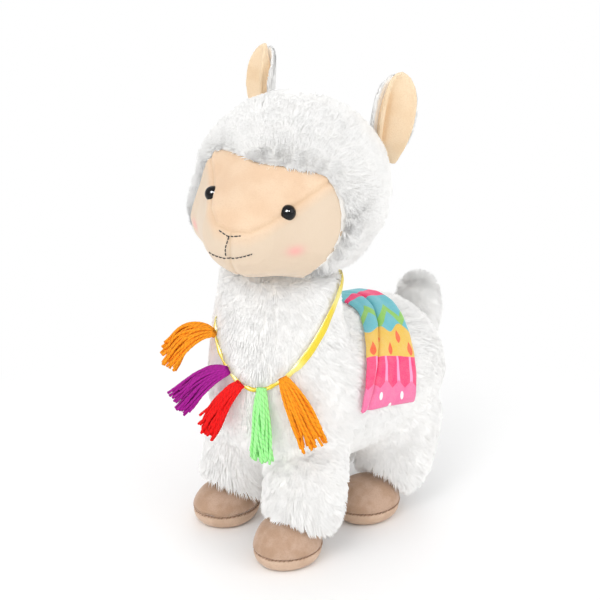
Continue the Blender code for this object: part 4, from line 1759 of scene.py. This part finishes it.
@dataclass
class Hoof:
    """A velour upper sewn to a sole, with the stitches of the seam."""

    row: str
    side: Side
    half_width: float = 19 * MM
    length_share: float = 1.14
    height: float = 27 * MM
    seam: float = 9 * MM
    lump_size: float = 13 * MM
    lump_height: float = 0.7 * MM
    thread_radius: float = 0.26 * MM
    turns: int = 72
    stitches: int = 54

    def tag(self) -> str:
        """The end of its nodes' names."""
        return f"{self.row}_{self.side.word}"

    def place(self) -> Matrix:
        """Where it stands.

        Returns:
            The place of its middle on the ground, drawn out lengthwise.
        """
        low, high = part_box(f"hoof_sole_{self.tag()}")
        middle = (Vector(low) + Vector(high)) / 2
        stretch = Matrix.Diagonal((1, self.length_share, 1, 1))
        return Matrix.Translation((middle.x, middle.y, 0)) @ stretch

    def upper_profile(self) -> list[tuple[float, float]]:
        """The upper's profile.

        Returns:
            Radius and height, from the top to the rolled edge at the seam.
        """
        wide = self.half_width
        rise = self.height - self.seam
        turns = [step / 14 * math.pi / 2 for step in range(15)]
        bow = [(wide * math.sin(turn) ** 0.72, self.seam + rise * math.cos(turn)) for turn in turns]
        lower = [(wide * 0.998, self.seam + 1.6 * MM), (wide * 0.985, self.seam + 0.7 * MM)]
        return [*bow[:-1], *lower, (wide * 0.955, self.seam + 0.3 * MM), (0, self.seam + 0.3 * MM)]

    def sole_profile(self) -> list[tuple[float, float]]:
        """The sole's profile.

        Returns:
            Radius and height, from the seam to the flat under it.
        """
        wide = self.half_width
        seam = self.seam
        return [
            (0, seam - 0.3 * MM),
            (wide * 0.95, seam - 0.3 * MM),
            (wide * 0.978, seam - 0.9 * MM),
            (wide * 0.985, seam * 0.72),
            (wide * 0.965, seam * 0.50),
            (wide * 0.92, seam * 0.30),
            (wide * 0.85, seam * 0.13),
            (wide * 0.76, seam * 0.03),
            (wide * 0.68, 0),
            (0, 0),
        ]

    def build(self, skeleton: Skeleton, finishes: dict[str, bpy.types.Material]) -> None:
        """Makes the upper, the sole and the seam's stitches.

        Args:
            skeleton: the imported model.
            finishes: the materials upper, sole and stitch.
        """
        place = self.place()
        for part, profile in (("upper", self.upper_profile()), ("sole", self.sole_profile())):
            bm = spun(profile, place, self.turns)
            for vert in bm.verts:
                if vert.co.z > 0.2 * MM:
                    uneven = noise.noise(vert.co / self.lump_size) * self.lump_height
                    vert.co += Vector((vert.normal.x, vert.normal.y, 0)) * uneven
            name = f"hoof_{part}_{self.tag()}"
            piece = new_piece(f"velour_{name}", bm, finishes[part])
            skeleton.finish(piece, "brown_velour", name)
            if part == "sole":
                self.sew(place, finishes["stitch"])

    def sew(self, place: Matrix, thread: bpy.types.Material) -> None:
        """Sews the two together with short slanted stitches over the seam.

        Args:
            place: where the hoof stands.
            thread: the finish.
        """
        bm = bmesh.new()
        radius = self.half_width * 0.985
        dice = random.Random(self.tag())
        for index in range(self.stitches):
            turn = (index + dice.uniform(-0.2, 0.2)) / self.stitches * math.tau
            tilt = dice.uniform(0.9, 1.9) * MM
            line = []
            for step in range(5):
                share = step / 4 - 0.5
                aim = turn + share * 0.075
                out = radius + (0.12 - share**2 * 2.4) * MM
                up = self.seam + share * tilt
                line.append(place @ Vector((math.cos(aim) * out, math.sin(aim) * out, up)))
            drawn_tube(bm, line, lambda share, turned: self.thread_radius, 6)
        piece = new_piece(f"hoof_stitches_{self.tag()}", bm, thread)
        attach(piece, "root")


@dataclass
class Blanket:
    """One rectangle of printed velour laid over the back, with a deep crease from edge to edge."""

    front: float = -23.5 * MM
    rear: float = 26.5 * MM
    reach: float = 87.0
    rear_drop: float = 10.0
    neck_step: float = 43 * MM
    axis_height: float = 83 * MM
    thickness: float = 1.6 * MM
    loft: float = 0.9 * MM
    puff: float = 1.5 * MM
    crease_depth: float = 4.8 * MM
    rows: int = 60
    columns: int = 132

    def crease_share(self, off: float) -> float:
        """How far from the front edge the crease is, at a share of the way from spine to hem."""
        return 0.42 - 0.30 * off**1.2

    def spot(self, tree: BVHTree, across: float, share: float) -> Vector:
        """The middle of the cloth.

        Args:
            tree: the plush under it.
            across: from -1 at the right hem to 1 at the left one.
            share: from 0 at the front edge to 1 at the rear one.

        Returns:
            The place.
        """
        angle = math.radians(self.reach + self.rear_drop * share**1.5) * across
        y = self.front + (self.rear - self.front) * share
        y += self.neck_step * (1 - 0.5 * share) * math.cos(angle / 2) ** 8
        out = Vector((math.sin(angle), 0, math.cos(angle)))
        place, normal = outer_hit(tree, Vector((0, y, self.axis_height)), out)
        off = share - self.crease_share(abs(across))
        fade = 1 - 0.6 * abs(across) ** 3
        crease = bell(off, 0.045) * fade
        before = bell(off + 0.15, 0.10)
        behind = bell(off - 0.16, 0.12)
        edge = 1 - min(1.0, min(share, 1 - share, (1 - abs(across)) * 2.2) / 0.10)
        rise = self.loft + self.puff * fade * (before + 0.5 * behind)
        rise -= self.crease_depth * crease + 1.5 * MM * edge**2
        # The fold before the crease leans back over it
        lean = Vector((0, 1, 0)) * 1.6 * MM * fade * bell(off + 0.07, 0.06)
        return place + lean + normal * (self.thickness / 2 + rise)

    def build(self, skeleton: Skeleton, material: bpy.types.Material) -> bpy.types.Object:
        """Makes the blanket.

        Args:
            skeleton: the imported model.
            material: the printed velour.

        Returns:
            The piece.
        """
        tree = skeleton.tree(*Coat.nodes)
        bm = bmesh.new()
        made = bmesh.ops.create_grid(bm, x_segments=self.columns, y_segments=self.rows, size=1)
        printed = bm.loops.layers.uv.new("print")
        baked = bm.loops.layers.uv.new("OFBake")
        width = (self.rear - self.front) / MM
        half_length = PrintedVelour.half_length
        for face in bm.faces:
            for loop in face.loops:
                across = loop.vert.co.x
                share = (loop.vert.co.y + 1) / 2
                loop[printed].uv = (share * width, across * half_length)
                loop[baked].uv = (0.01 + 0.98 * share, 0.5 + 0.49 * across)
        for vert in made["verts"]:
            vert.co = self.spot(tree, vert.co.x, (vert.co.y + 1) / 2)
        for _ in range(3):
            smooth(bm, 0.4)
        bm.normal_update()
        piece = new_piece("printed_blanket", bm, material)
        thicken = piece.modifiers.new("thickness", "SOLIDIFY")
        thicken.thickness = self.thickness
        thicken.offset = 0
        skeleton.finish(piece, "printed_velour", "saddle_blanket")
        return piece


@dataclass
class Ribbon:
    """A satin band in a closed loop round the neck, gathered narrow between the tassels."""

    neck: tuple[float, float] = (0.0, -38 * MM)
    back_z: float = 161 * MM
    low_z: float = 108 * MM
    low_turn: float = 25.0
    drop_turn: float = 110.0
    power: float = 1.85
    width: float = 4.9 * MM
    tied_width: float = 2.6 * MM
    thickness: float = 0.45 * MM
    lift: float = 0.5 * MM
    buried: float = 3.0 * MM
    first_tied: float = -25.0
    last_tied: float = 50.0
    opens_out: float = 16.0
    covered_from: float = -17 * MM
    map_step: float = 1.35
    rings: int = 240
    corners: int = 14

    def on_top(self, place: Vector) -> bool:
        """Whether the band lies on the pile there. At the toy's right the pile closes over it."""
        return place.x > self.covered_from

    def lie(self, tree: BVHTree, turn: float) -> tuple[Vector, Vector]:
        """The band's middle at a turn round the neck.

        Args:
            tree: what it lies on.
            turn: in degrees, from the chest towards the left.

        Returns:
            The place and the way out.
        """
        off = min(abs(half_turned(turn - self.low_turn)) / self.drop_turn, 1)
        height = self.low_z + (self.back_z - self.low_z) * math.sin(off * math.pi / 2) ** self.power
        around = math.radians(turn)
        out = Vector((math.sin(around), -math.cos(around), 0))
        place, normal = outer_hit(tree, Vector((*self.neck, height)), out)
        past = clamped((self.first_tied - 3 - half_turned(turn)) / 12)
        back = clamped((half_turned(turn) + 160) / 20)
        return place + normal * (self.lift - self.buried * past * back), normal

    def smooth_line(self, tree: BVHTree) -> list[tuple[Vector, Vector]]:
        """The band's middle line, without the corners of the CAD surface.

        Args:
            tree: what it lies on.

        Returns:
            The places and the ways out, once round.
        """
        raw = [self.lie(tree, 360 * index / self.rings) for index in range(self.rings)]
        for _ in range(6):
            raw = [
                (
                    (raw[index - 1][0] + raw[index][0] * 2 + raw[(index + 1) % self.rings][0]) / 4,
                    (raw[index - 1][1] + raw[index][1] + raw[(index + 1) % self.rings][1]).normalized(),
                )
                for index in range(self.rings)
            ]
        return raw

    def tied(self, turn: float) -> float:
        """0 where the band is flat and 1 where it is gathered."""
        outside = max(self.first_tied - half_turned(turn), half_turned(turn) - self.last_tied, 0)
        return 1 - min(outside / self.opens_out, 1)

    def build(self, skeleton: Skeleton, material: bpy.types.Material) -> bpy.types.Object:
        """Makes the ribbon.

        Args:
            skeleton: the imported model.
            material: the satin.

        Returns:
            The piece.
        """
        tree = skeleton.tree("body", "leg_front_left", "leg_front_right")
        line = self.smooth_line(tree)
        bm = bmesh.new()
        loops = []
        spots = {}
        for index, (middle, normal) in enumerate(line):
            way = line[(index + 1) % self.rings][0] - line[index - 1][0]
            gathered = self.tied(360 * index / self.rings)
            sway = 0.3 * noise.noise(Vector((index * 0.05, 0.3, 0)))
            sway += gathered * 0.9 * math.sin(index * 0.7)
            across = Matrix.Rotation(sway, 3, way) @ way.cross(normal).normalized()
            out = across.cross(way).normalized()
            width = self.width + (self.tied_width - self.width) * gathered
            place = Matrix.Identity(4)
            place.col[0][:3] = across * width / 2
            place.col[1][:3] = out * self.thickness / 2 * (1 + 1.6 * gathered)
            place.col[2][:3] = way.normalized()
            place.col[3][:3] = middle
            made = bmesh.ops.create_circle(bm, segments=self.corners, radius=1, matrix=place)
            for spot, vert in enumerate(made["verts"]):
                fold = math.cos(spot / self.corners * math.tau)
                vert.co += out * (fold**2 * 0.5 - 0.25) * width * (0.14 + 0.25 * gathered)
                spots[vert] = (index, fold)
            loops.append(list({edge for vert in made["verts"] for edge in vert.link_edges}))
        for index, loop in enumerate(loops):
            bmesh.ops.bridge_loops(bm, edges=loop + loops[(index + 1) % self.rings])
        bmesh.ops.recalc_face_normals(bm, faces=bm.faces)
        self.write_map(bm, spots)
        piece = new_piece("satin_ribbon", bm, material)
        return skeleton.finish(piece, "yellow_satin", "neck_ribbon")

    def write_map(self, bm: bmesh.types.BMesh, spots: dict[bmesh.types.BMVert, tuple[int, float]]) -> None:
        """Writes the map satin, along the band and across it.

        Args:
            bm: the band.
            spots: the ring of each of its points, and how far across it is.
        """
        satin = bm.loops.layers.uv.new("satin")
        for face in bm.faces:
            rings = [spots[loop.vert][0] for loop in face.loops]
            wraps = max(rings) - min(rings) > 2
            for loop in face.loops:
                ring, fold = spots[loop.vert]
                if wraps and ring < 2:
                    ring += self.rings
                loop[satin].uv = (ring * self.map_step, fold * self.width / MM / 2)


@dataclass
class Tassel:
    """A bundle of plied yarn looped over the ribbon."""

    name: str
    turn: float
    way: tuple[float, float, float]
    spread: float
    finish: Yarn
    longest: float = 43 * MM
    yarns: int = 34
    radius: float = 0.82 * MM
    knot: float = 2.7 * MM
    bow: float = 8 * MM
    rings: int = 24
    sides: int = 8
    looped: float = 0.14
    seed: int = 3

    def line(self, dice: random.Random, frame: dict[str, Vector], row: float, layer: float) -> list[Vector]:
        """The middle line of one yarn.

        Args:
            dice: the source of its irregularity.
            frame: the knot, the way out, the way that the yarn hangs and the way that it fans.
            row: its place across the round bundle, from -1 to 1.
            layer: its place through it, from -1 next to the plush to 1.

        Returns:
            Points from behind the ribbon to the cut end.
        """
        length = 1 - 0.26 * dice.random() ** 1.5
        phases = (dice.random() * math.tau, dice.random() * math.tau)
        stray = dice.uniform(0.5, 1.3) * MM * (2.4 if dice.random() < 0.2 else 1.0)
        along = frame["hang"].normalized()
        bow = (1 - abs(self.way[2])) * self.bow
        side = frame["fan"].normalized()
        points = []
        for step in range(self.rings):
            share = step / (self.rings - 1)
            if share < self.looped:
                # Over the ribbon and down in front of it
                arc = share / self.looped * math.pi
                up = math.sin(arc) * (0.6 + 0.25 * layer) * self.knot
                depth = -math.cos(arc) * self.knot * (0.55 + 0.25 * layer)
                spot = frame["knot"] - along * up + frame["out"] * depth + side * row * self.knot * 0.8
            else:
                down = (share - self.looped) / (1 - self.looped)
                opened = down**0.6
                fanned = self.spread * self.longest * 0.55 * opened
                across = row * (self.knot * 0.8 * (1 - opened) + fanned)
                across += math.sin(down * 5.0 + phases[0]) * stray * down
                arch = math.sin(min(1.0, down * 1.15) * math.pi * 0.85) * 3.6 * MM
                depth = self.knot * (0.55 + 0.25 * layer) + arch + layer * (0.6 + 1.6 * opened) * MM
                depth += math.sin(down * 6.0 + phases[1]) * stray * 0.6 * down
                spot = frame["knot"] + frame["hang"] * down * length + side * across
                spot += frame["out"] * depth
                spot.z += bow * math.sin(math.pi * down**0.8)
            points.append(spot)
        return points

    def build(
        self,
        skeleton: Skeleton,
        ribbon: Ribbon,
        tree: BVHTree,
    ) -> bpy.types.Object:
        """Makes the tassel.

        Args:
            skeleton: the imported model.
            ribbon: what it hangs from.
            tree: the plush behind it.

        Returns:
            The piece.
        """
        middle, out = ribbon.lie(tree, self.turn)
        hang = Vector(self.way) * self.longest
        fan = hang.cross(out)
        away = fan.cross(hang).normalized()
        if away.dot(out) < 0:
            away.negate()
        frame = {"knot": middle, "out": away, "hang": hang, "fan": fan}
        dice = random.Random(self.seed + round(self.turn))
        bm = bmesh.new()
        ply = bm.loops.layers.uv.new("ply")
        baked = bm.loops.layers.uv.new("OFBake")
        for index in range(self.yarns):
            # Seeds of a sunflower fill the round bundle evenly
            out_share = math.sqrt((index + 0.5) / self.yarns)
            row = out_share * math.cos(index * SUNFLOWER_TURN)
            layer = out_share * math.sin(index * SUNFLOWER_TURN)
            points = self.line(dice, frame, row, layer)
            points = [self.held_off(tree, point, (layer + 1) / 2) for point in points]
            phase = dice.random()
            turns = (hang.length / MM) * self.finish.twist * math.tau

            def radius_at(share: float, turn: float) -> float:
                """The yarn's radius, which its two plies make oval."""
                return self.radius * (1 + 0.12 * math.cos(2 * turn + share * turns + phase * 6))

            spots = drawn_tube(bm, points, radius_at, self.sides)
            faces = {face for vert in spots for face in vert.link_faces}
            self.write_maps(faces, spots, ply, baked, phase)
        piece = new_piece(f"yarn_{self.name}", bm, self.finish.make())
        return skeleton.finish(piece, self.finish.name, self.name)

    def held_off(self, tree: BVHTree, point: Vector, layer: float) -> Vector:
        """A yarn's point, moved out of the plush where it is in it.

        Args:
            tree: the plush.
            point: the point.
            layer: the yarn's place through the bundle, from 0 next to the plush to 1.

        Returns:
            The point.
        """
        nearest, normal, _, _ = tree.find_nearest(point)
        height = (point - nearest).dot(normal)
        least = (0.6 + layer * 2.4) * MM
        return point if height > least else nearest + normal * least

    def write_maps(
        self,
        faces: set[bmesh.types.BMFace],
        spots: dict[bmesh.types.BMVert, tuple[int, int]],
        ply: bmesh.types.BMLayerItem,
        baked: bmesh.types.BMLayerItem,
        phase: float,
    ) -> None:
        """Writes the map of the plies and the baking map of one yarn.

        Args:
            faces: the yarn's faces.
            spots: the ring and the side of each of its points.
            ply: turns round the yarn and millimetres along it.
            baked: the baking map.
            phase: where its twist starts, in turns.
        """
        step = self.longest / MM / (self.rings - 1)
        for face in faces:
            columns = [spots[loop.vert][1] for loop in face.loops]
            wraps = max(columns) - min(columns) > self.sides / 2
            for loop in face.loops:
                ring, column = spots[loop.vert]
                if wraps and column < self.sides / 2:
                    column += self.sides
                loop[ply].uv = (column / self.sides + phase, ring * step)
                loop[baked].uv = (column / self.sides * 0.5, ring / self.rings)


def hooves() -> list[Hoof]:
    """The four hooves. The pile hangs lowest over the front right one.

    Returns:
        The hooves.
    """
    return [
        Hoof("front", Side.LEFT),
        Hoof("rear", Side.LEFT, height=23.5 * MM),
        Hoof("front", Side.RIGHT, height=22.5 * MM),
        Hoof("rear", Side.RIGHT, height=23.5 * MM),
    ]


def tassels() -> list[Tassel]:
    """The five tassels.

    Returns:
        The tassels, from the toy's right to its left.
    """
    orange = Yarn("orange_yarn", (1.0, 0.345, 0.006))
    purple = Yarn("purple_yarn", (0.40, 0.006, 0.30))
    red = Yarn("red_yarn", (0.92, 0.004, 0.004))
    green = Yarn("green_yarn", (0.41, 0.97, 0.35))
    return [
        Tassel("tassel_orange_right", -25, (-0.56, -0.42, -0.46), 0.46, orange),
        Tassel("tassel_purple", 0, (-0.60, -0.38, -0.57), 0.38, purple),
        Tassel("tassel_red", 14, (-0.45, -0.19, -0.79), 0.31, red),
        Tassel("tassel_green", 33, (0.05, -0.05, -1.00), 0.29, green),
        Tassel("tassel_orange_left", 50, (0.45, 0.14, -0.88), 0.40, orange),
    ]


# Studio


@dataclass
class Studio:
    """Camera, lamps, floor and white surroundings."""

    azimuth: float = 45.0
    elevation: float = 22.0
    distance: float = 1.0
    target: Vector = field(default_factory=lambda: Vector((0, -0.020, 0.142)))
    lens: float = 103.0
    lamp_distance: float = 1.4
    sky: float = 0.80
    shadow_reach: float = 0.30

    def way_back(self, azimuth: float, elevation: float) -> Vector:
        """The direction from the target.

        Args:
            azimuth: round the toy, in degrees from its front towards its left.
            elevation: over the horizon, in degrees.

        Returns:
            The direction.
        """
        turn = math.radians(azimuth)
        rise = math.radians(elevation)
        level = math.cos(rise)
        return Vector((math.sin(turn) * level, -math.cos(turn) * level, math.sin(rise)))

    def aim(
        self,
        name: str,
        data: bpy.types.Camera | bpy.types.Light,
        azimuth: float,
        elevation: float,
        distance: float,
    ) -> bpy.types.Object:
        """Puts a camera or a lamp in the scene and turns it to the toy.

        Args:
            name: its name.
            data: the camera or the light.
            azimuth: where it is round the toy, in degrees.
            elevation: how high it is, in degrees.
            distance: how far off it is.

        Returns:
            Its object.
        """
        aimed = bpy.data.objects.new(name, data)
        back = self.way_back(azimuth, elevation)
        aimed.location = self.target + back * distance
        aimed.rotation_mode = "QUATERNION"
        aimed.rotation_quaternion = (-back).to_track_quat("-Z", "Y")
        bpy.context.scene.collection.objects.link(aimed)
        return aimed

    def camera(self) -> None:
        """The photograph's viewpoint."""
        data = bpy.data.cameras.new("camera")
        data.lens = self.lens
        data.sensor_width = 36.0
        data.clip_start = 0.01
        data.clip_end = 20.0
        camera = self.aim("camera", data, self.azimuth, self.elevation, self.distance)
        bpy.context.scene.camera = camera

    def lamp(
        self,
        name: str,
        azimuth: float,
        elevation: float,
        size: float,
        power: float,
        lights_matt: bool = True,
    ) -> None:
        """A square soft light that is aimed at the toy.

        Args:
            name: its name.
            azimuth: where it is round the toy, in degrees.
            elevation: how high it is, in degrees.
            size: the length of its sides.
            power: its power in watts.
            lights_matt: whether it lights matt surfaces too, or is only seen in shiny ones.
        """
        data = bpy.data.lights.new(name, "AREA")
        data.size = size
        data.energy = power
        lamp = self.aim(name, data, azimuth, elevation, self.lamp_distance)
        lamp.visible_diffuse = lights_matt

    def surroundings(self) -> None:
        """A plain world that the camera sees as white."""
        world = bpy.data.worlds.new("surroundings")
        world.use_nodes = True
        tree = world.node_tree
        light = tree.nodes["Background"]
        light.inputs["Color"].default_value = (1, 1, 1, 1)
        light.inputs["Strength"].default_value = self.sky
        white = tree.nodes.new("ShaderNodeBackground")
        white.inputs["Color"].default_value = (1, 1, 1, 1)
        white.inputs["Strength"].default_value = 1.0
        path = tree.nodes.new("ShaderNodeLightPath")
        mix = tree.nodes.new("ShaderNodeMixShader")
        tree.links.new(path.outputs["Is Camera Ray"], mix.inputs[0])
        tree.links.new(light.outputs[0], mix.inputs[1])
        tree.links.new(white.outputs[0], mix.inputs[2])
        tree.links.new(mix.outputs[0], tree.nodes["World Output"].inputs["Surface"])
        bpy.context.scene.world = world

    def floor(self) -> bpy.types.Object:
        """A plain pale floor that keeps the toy's shadow and is white to the camera farther out.

        Returns:
            The floor.
        """
        bm = bmesh.new()
        bmesh.ops.create_grid(bm, x_segments=1, y_segments=1, size=6.0)
        nodes = MaterialNodes("floor")
        offset = nodes.node("ShaderNodeVectorMath", {"operation": "SUBTRACT"}, {0: nodes.object_place()})
        offset.socket.node.inputs[1].default_value = (0, -20 * MM, 0)
        far = nodes.node("ShaderNodeVectorMath", {"operation": "LENGTH"}, {0: offset}, output="Value")
        seen = nodes.node("ShaderNodeLightPath", output="Is Camera Ray")
        white = nodes.node("ShaderNodeEmission", {}, {"Color": (1.0, 1.0, 1.0), "Strength": 1.0})
        nodes.dress(Base_Color=(0.92, 0.92, 0.92), Roughness=1.0)
        plain = Shade(nodes, nodes.shader.outputs[0])
        share = far.ramp(self.shadow_reach * 0.45, self.shadow_reach) * seen
        mixed = nodes.node("ShaderNodeMixShader", {}, {0: share, 1: plain, 2: white})
        nodes.tree.links.new(mixed.socket, nodes.tree.nodes["Material Output"].inputs["Surface"])
        floor = new_piece("floor", bm, nodes.material)
        return floor

    def build(self) -> None:
        """Makes all of it."""
        self.camera()
        self.lamp("key", 10, 40, 0.9, 5.4)
        self.lamp("fill", 110, 30, 1.1, 3.9)
        self.lamp("back", 225, 32, 1.1, 4.4)
        self.lamp("catch_light", 24, 44, 0.5, 80.0, lights_matt=False)
        self.lamp("second_catch_light", 66, 42, 0.3, 26.0, lights_matt=False)
        self.surroundings()
        self.floor()
        bpy.context.scene.view_settings.view_transform = "Standard"


def hoof_materials() -> dict[str, bpy.types.Material]:
    """The hooves' finishes.

    Returns:
        The materials upper, sole and stitch.
    """
    upper = Velour(
        "hoof_velour",
        colour=(0.49, 0.315, 0.21),
        rubbed=(0.57, 0.39, 0.285),
        shadow=(0.36, 0.225, 0.145),
        patch=9 * MM,
    )
    sole = Velour(
        "sole_velour",
        colour=(0.62, 0.43, 0.305),
        rubbed=(0.69, 0.50, 0.37),
        shadow=(0.49, 0.33, 0.22),
        patch=9 * MM,
    )
    stitch = Thread("brown_thread", (0.30, 0.175, 0.11))
    return {"upper": upper.make(), "sole": sole.make(), "stitch": stitch.make()}


def main() -> None:
    """Builds the toy and reports each piece."""
    logging.basicConfig(level=logging.INFO, format="%(name)s: %(message)s")
    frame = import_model()
    Studio().build()
    skeleton = Skeleton(frame)
    pile = PlushPile().make()
    thread = Thread("black_thread", (0.012, 0.012, 0.014)).make()
    lining = Velour(
        "lining_velour",
        colour=(0.88, 0.67, 0.44),
        rubbed=(0.92, 0.73, 0.51),
        shadow=(0.78, 0.55, 0.33),
    ).make()
    black = GlossPlastic("black_bead", (0.002, 0.002, 0.003)).make()
    washer = GlossPlastic("washer_plastic", (0.72, 0.71, 0.67), 0.35).make()
    face_form = Face()
    face = face_form.build(skeleton, FaceVelour("face_velour").make())
    Embroidery().build(skeleton, face, thread)
    blanket = Blanket().build(skeleton, PrintedVelour().make())
    band = Ribbon()
    ribbon = band.build(skeleton, Satin().make())
    into_head = skeleton.head_place().inverted()
    stuffed = [
        Coat().build(skeleton, pile, [tree_of([blanket]), tree_of([ribbon], band.on_top)]),
        Hood(face=face_form, into_head=into_head).build(skeleton, pile),
        Tail().build(skeleton, pile),
    ]
    for side in Side:
        ear_lining = EarLining(side).build(skeleton, lining)
        back = EarBack(name=f"ear_pile_{side.word}", nodes=(f"ear_back_{side.word}",), side=side)
        back.build(skeleton, pile, [tree_of([ear_lining])])
        Eye(side).build(skeleton, black)
        skeleton.node(f"eye_washer_{side.word}").material_slots[0].material = washer
    hoof_finishes = hoof_materials()
    for hoof in hooves():
        hoof.build(skeleton, hoof_finishes)
    chest = skeleton.tree("body", "leg_front_left", "leg_front_right")
    for tassel in tassels():
        tassel.build(skeleton, band, chest)


if __name__ == "__main__":
    main()
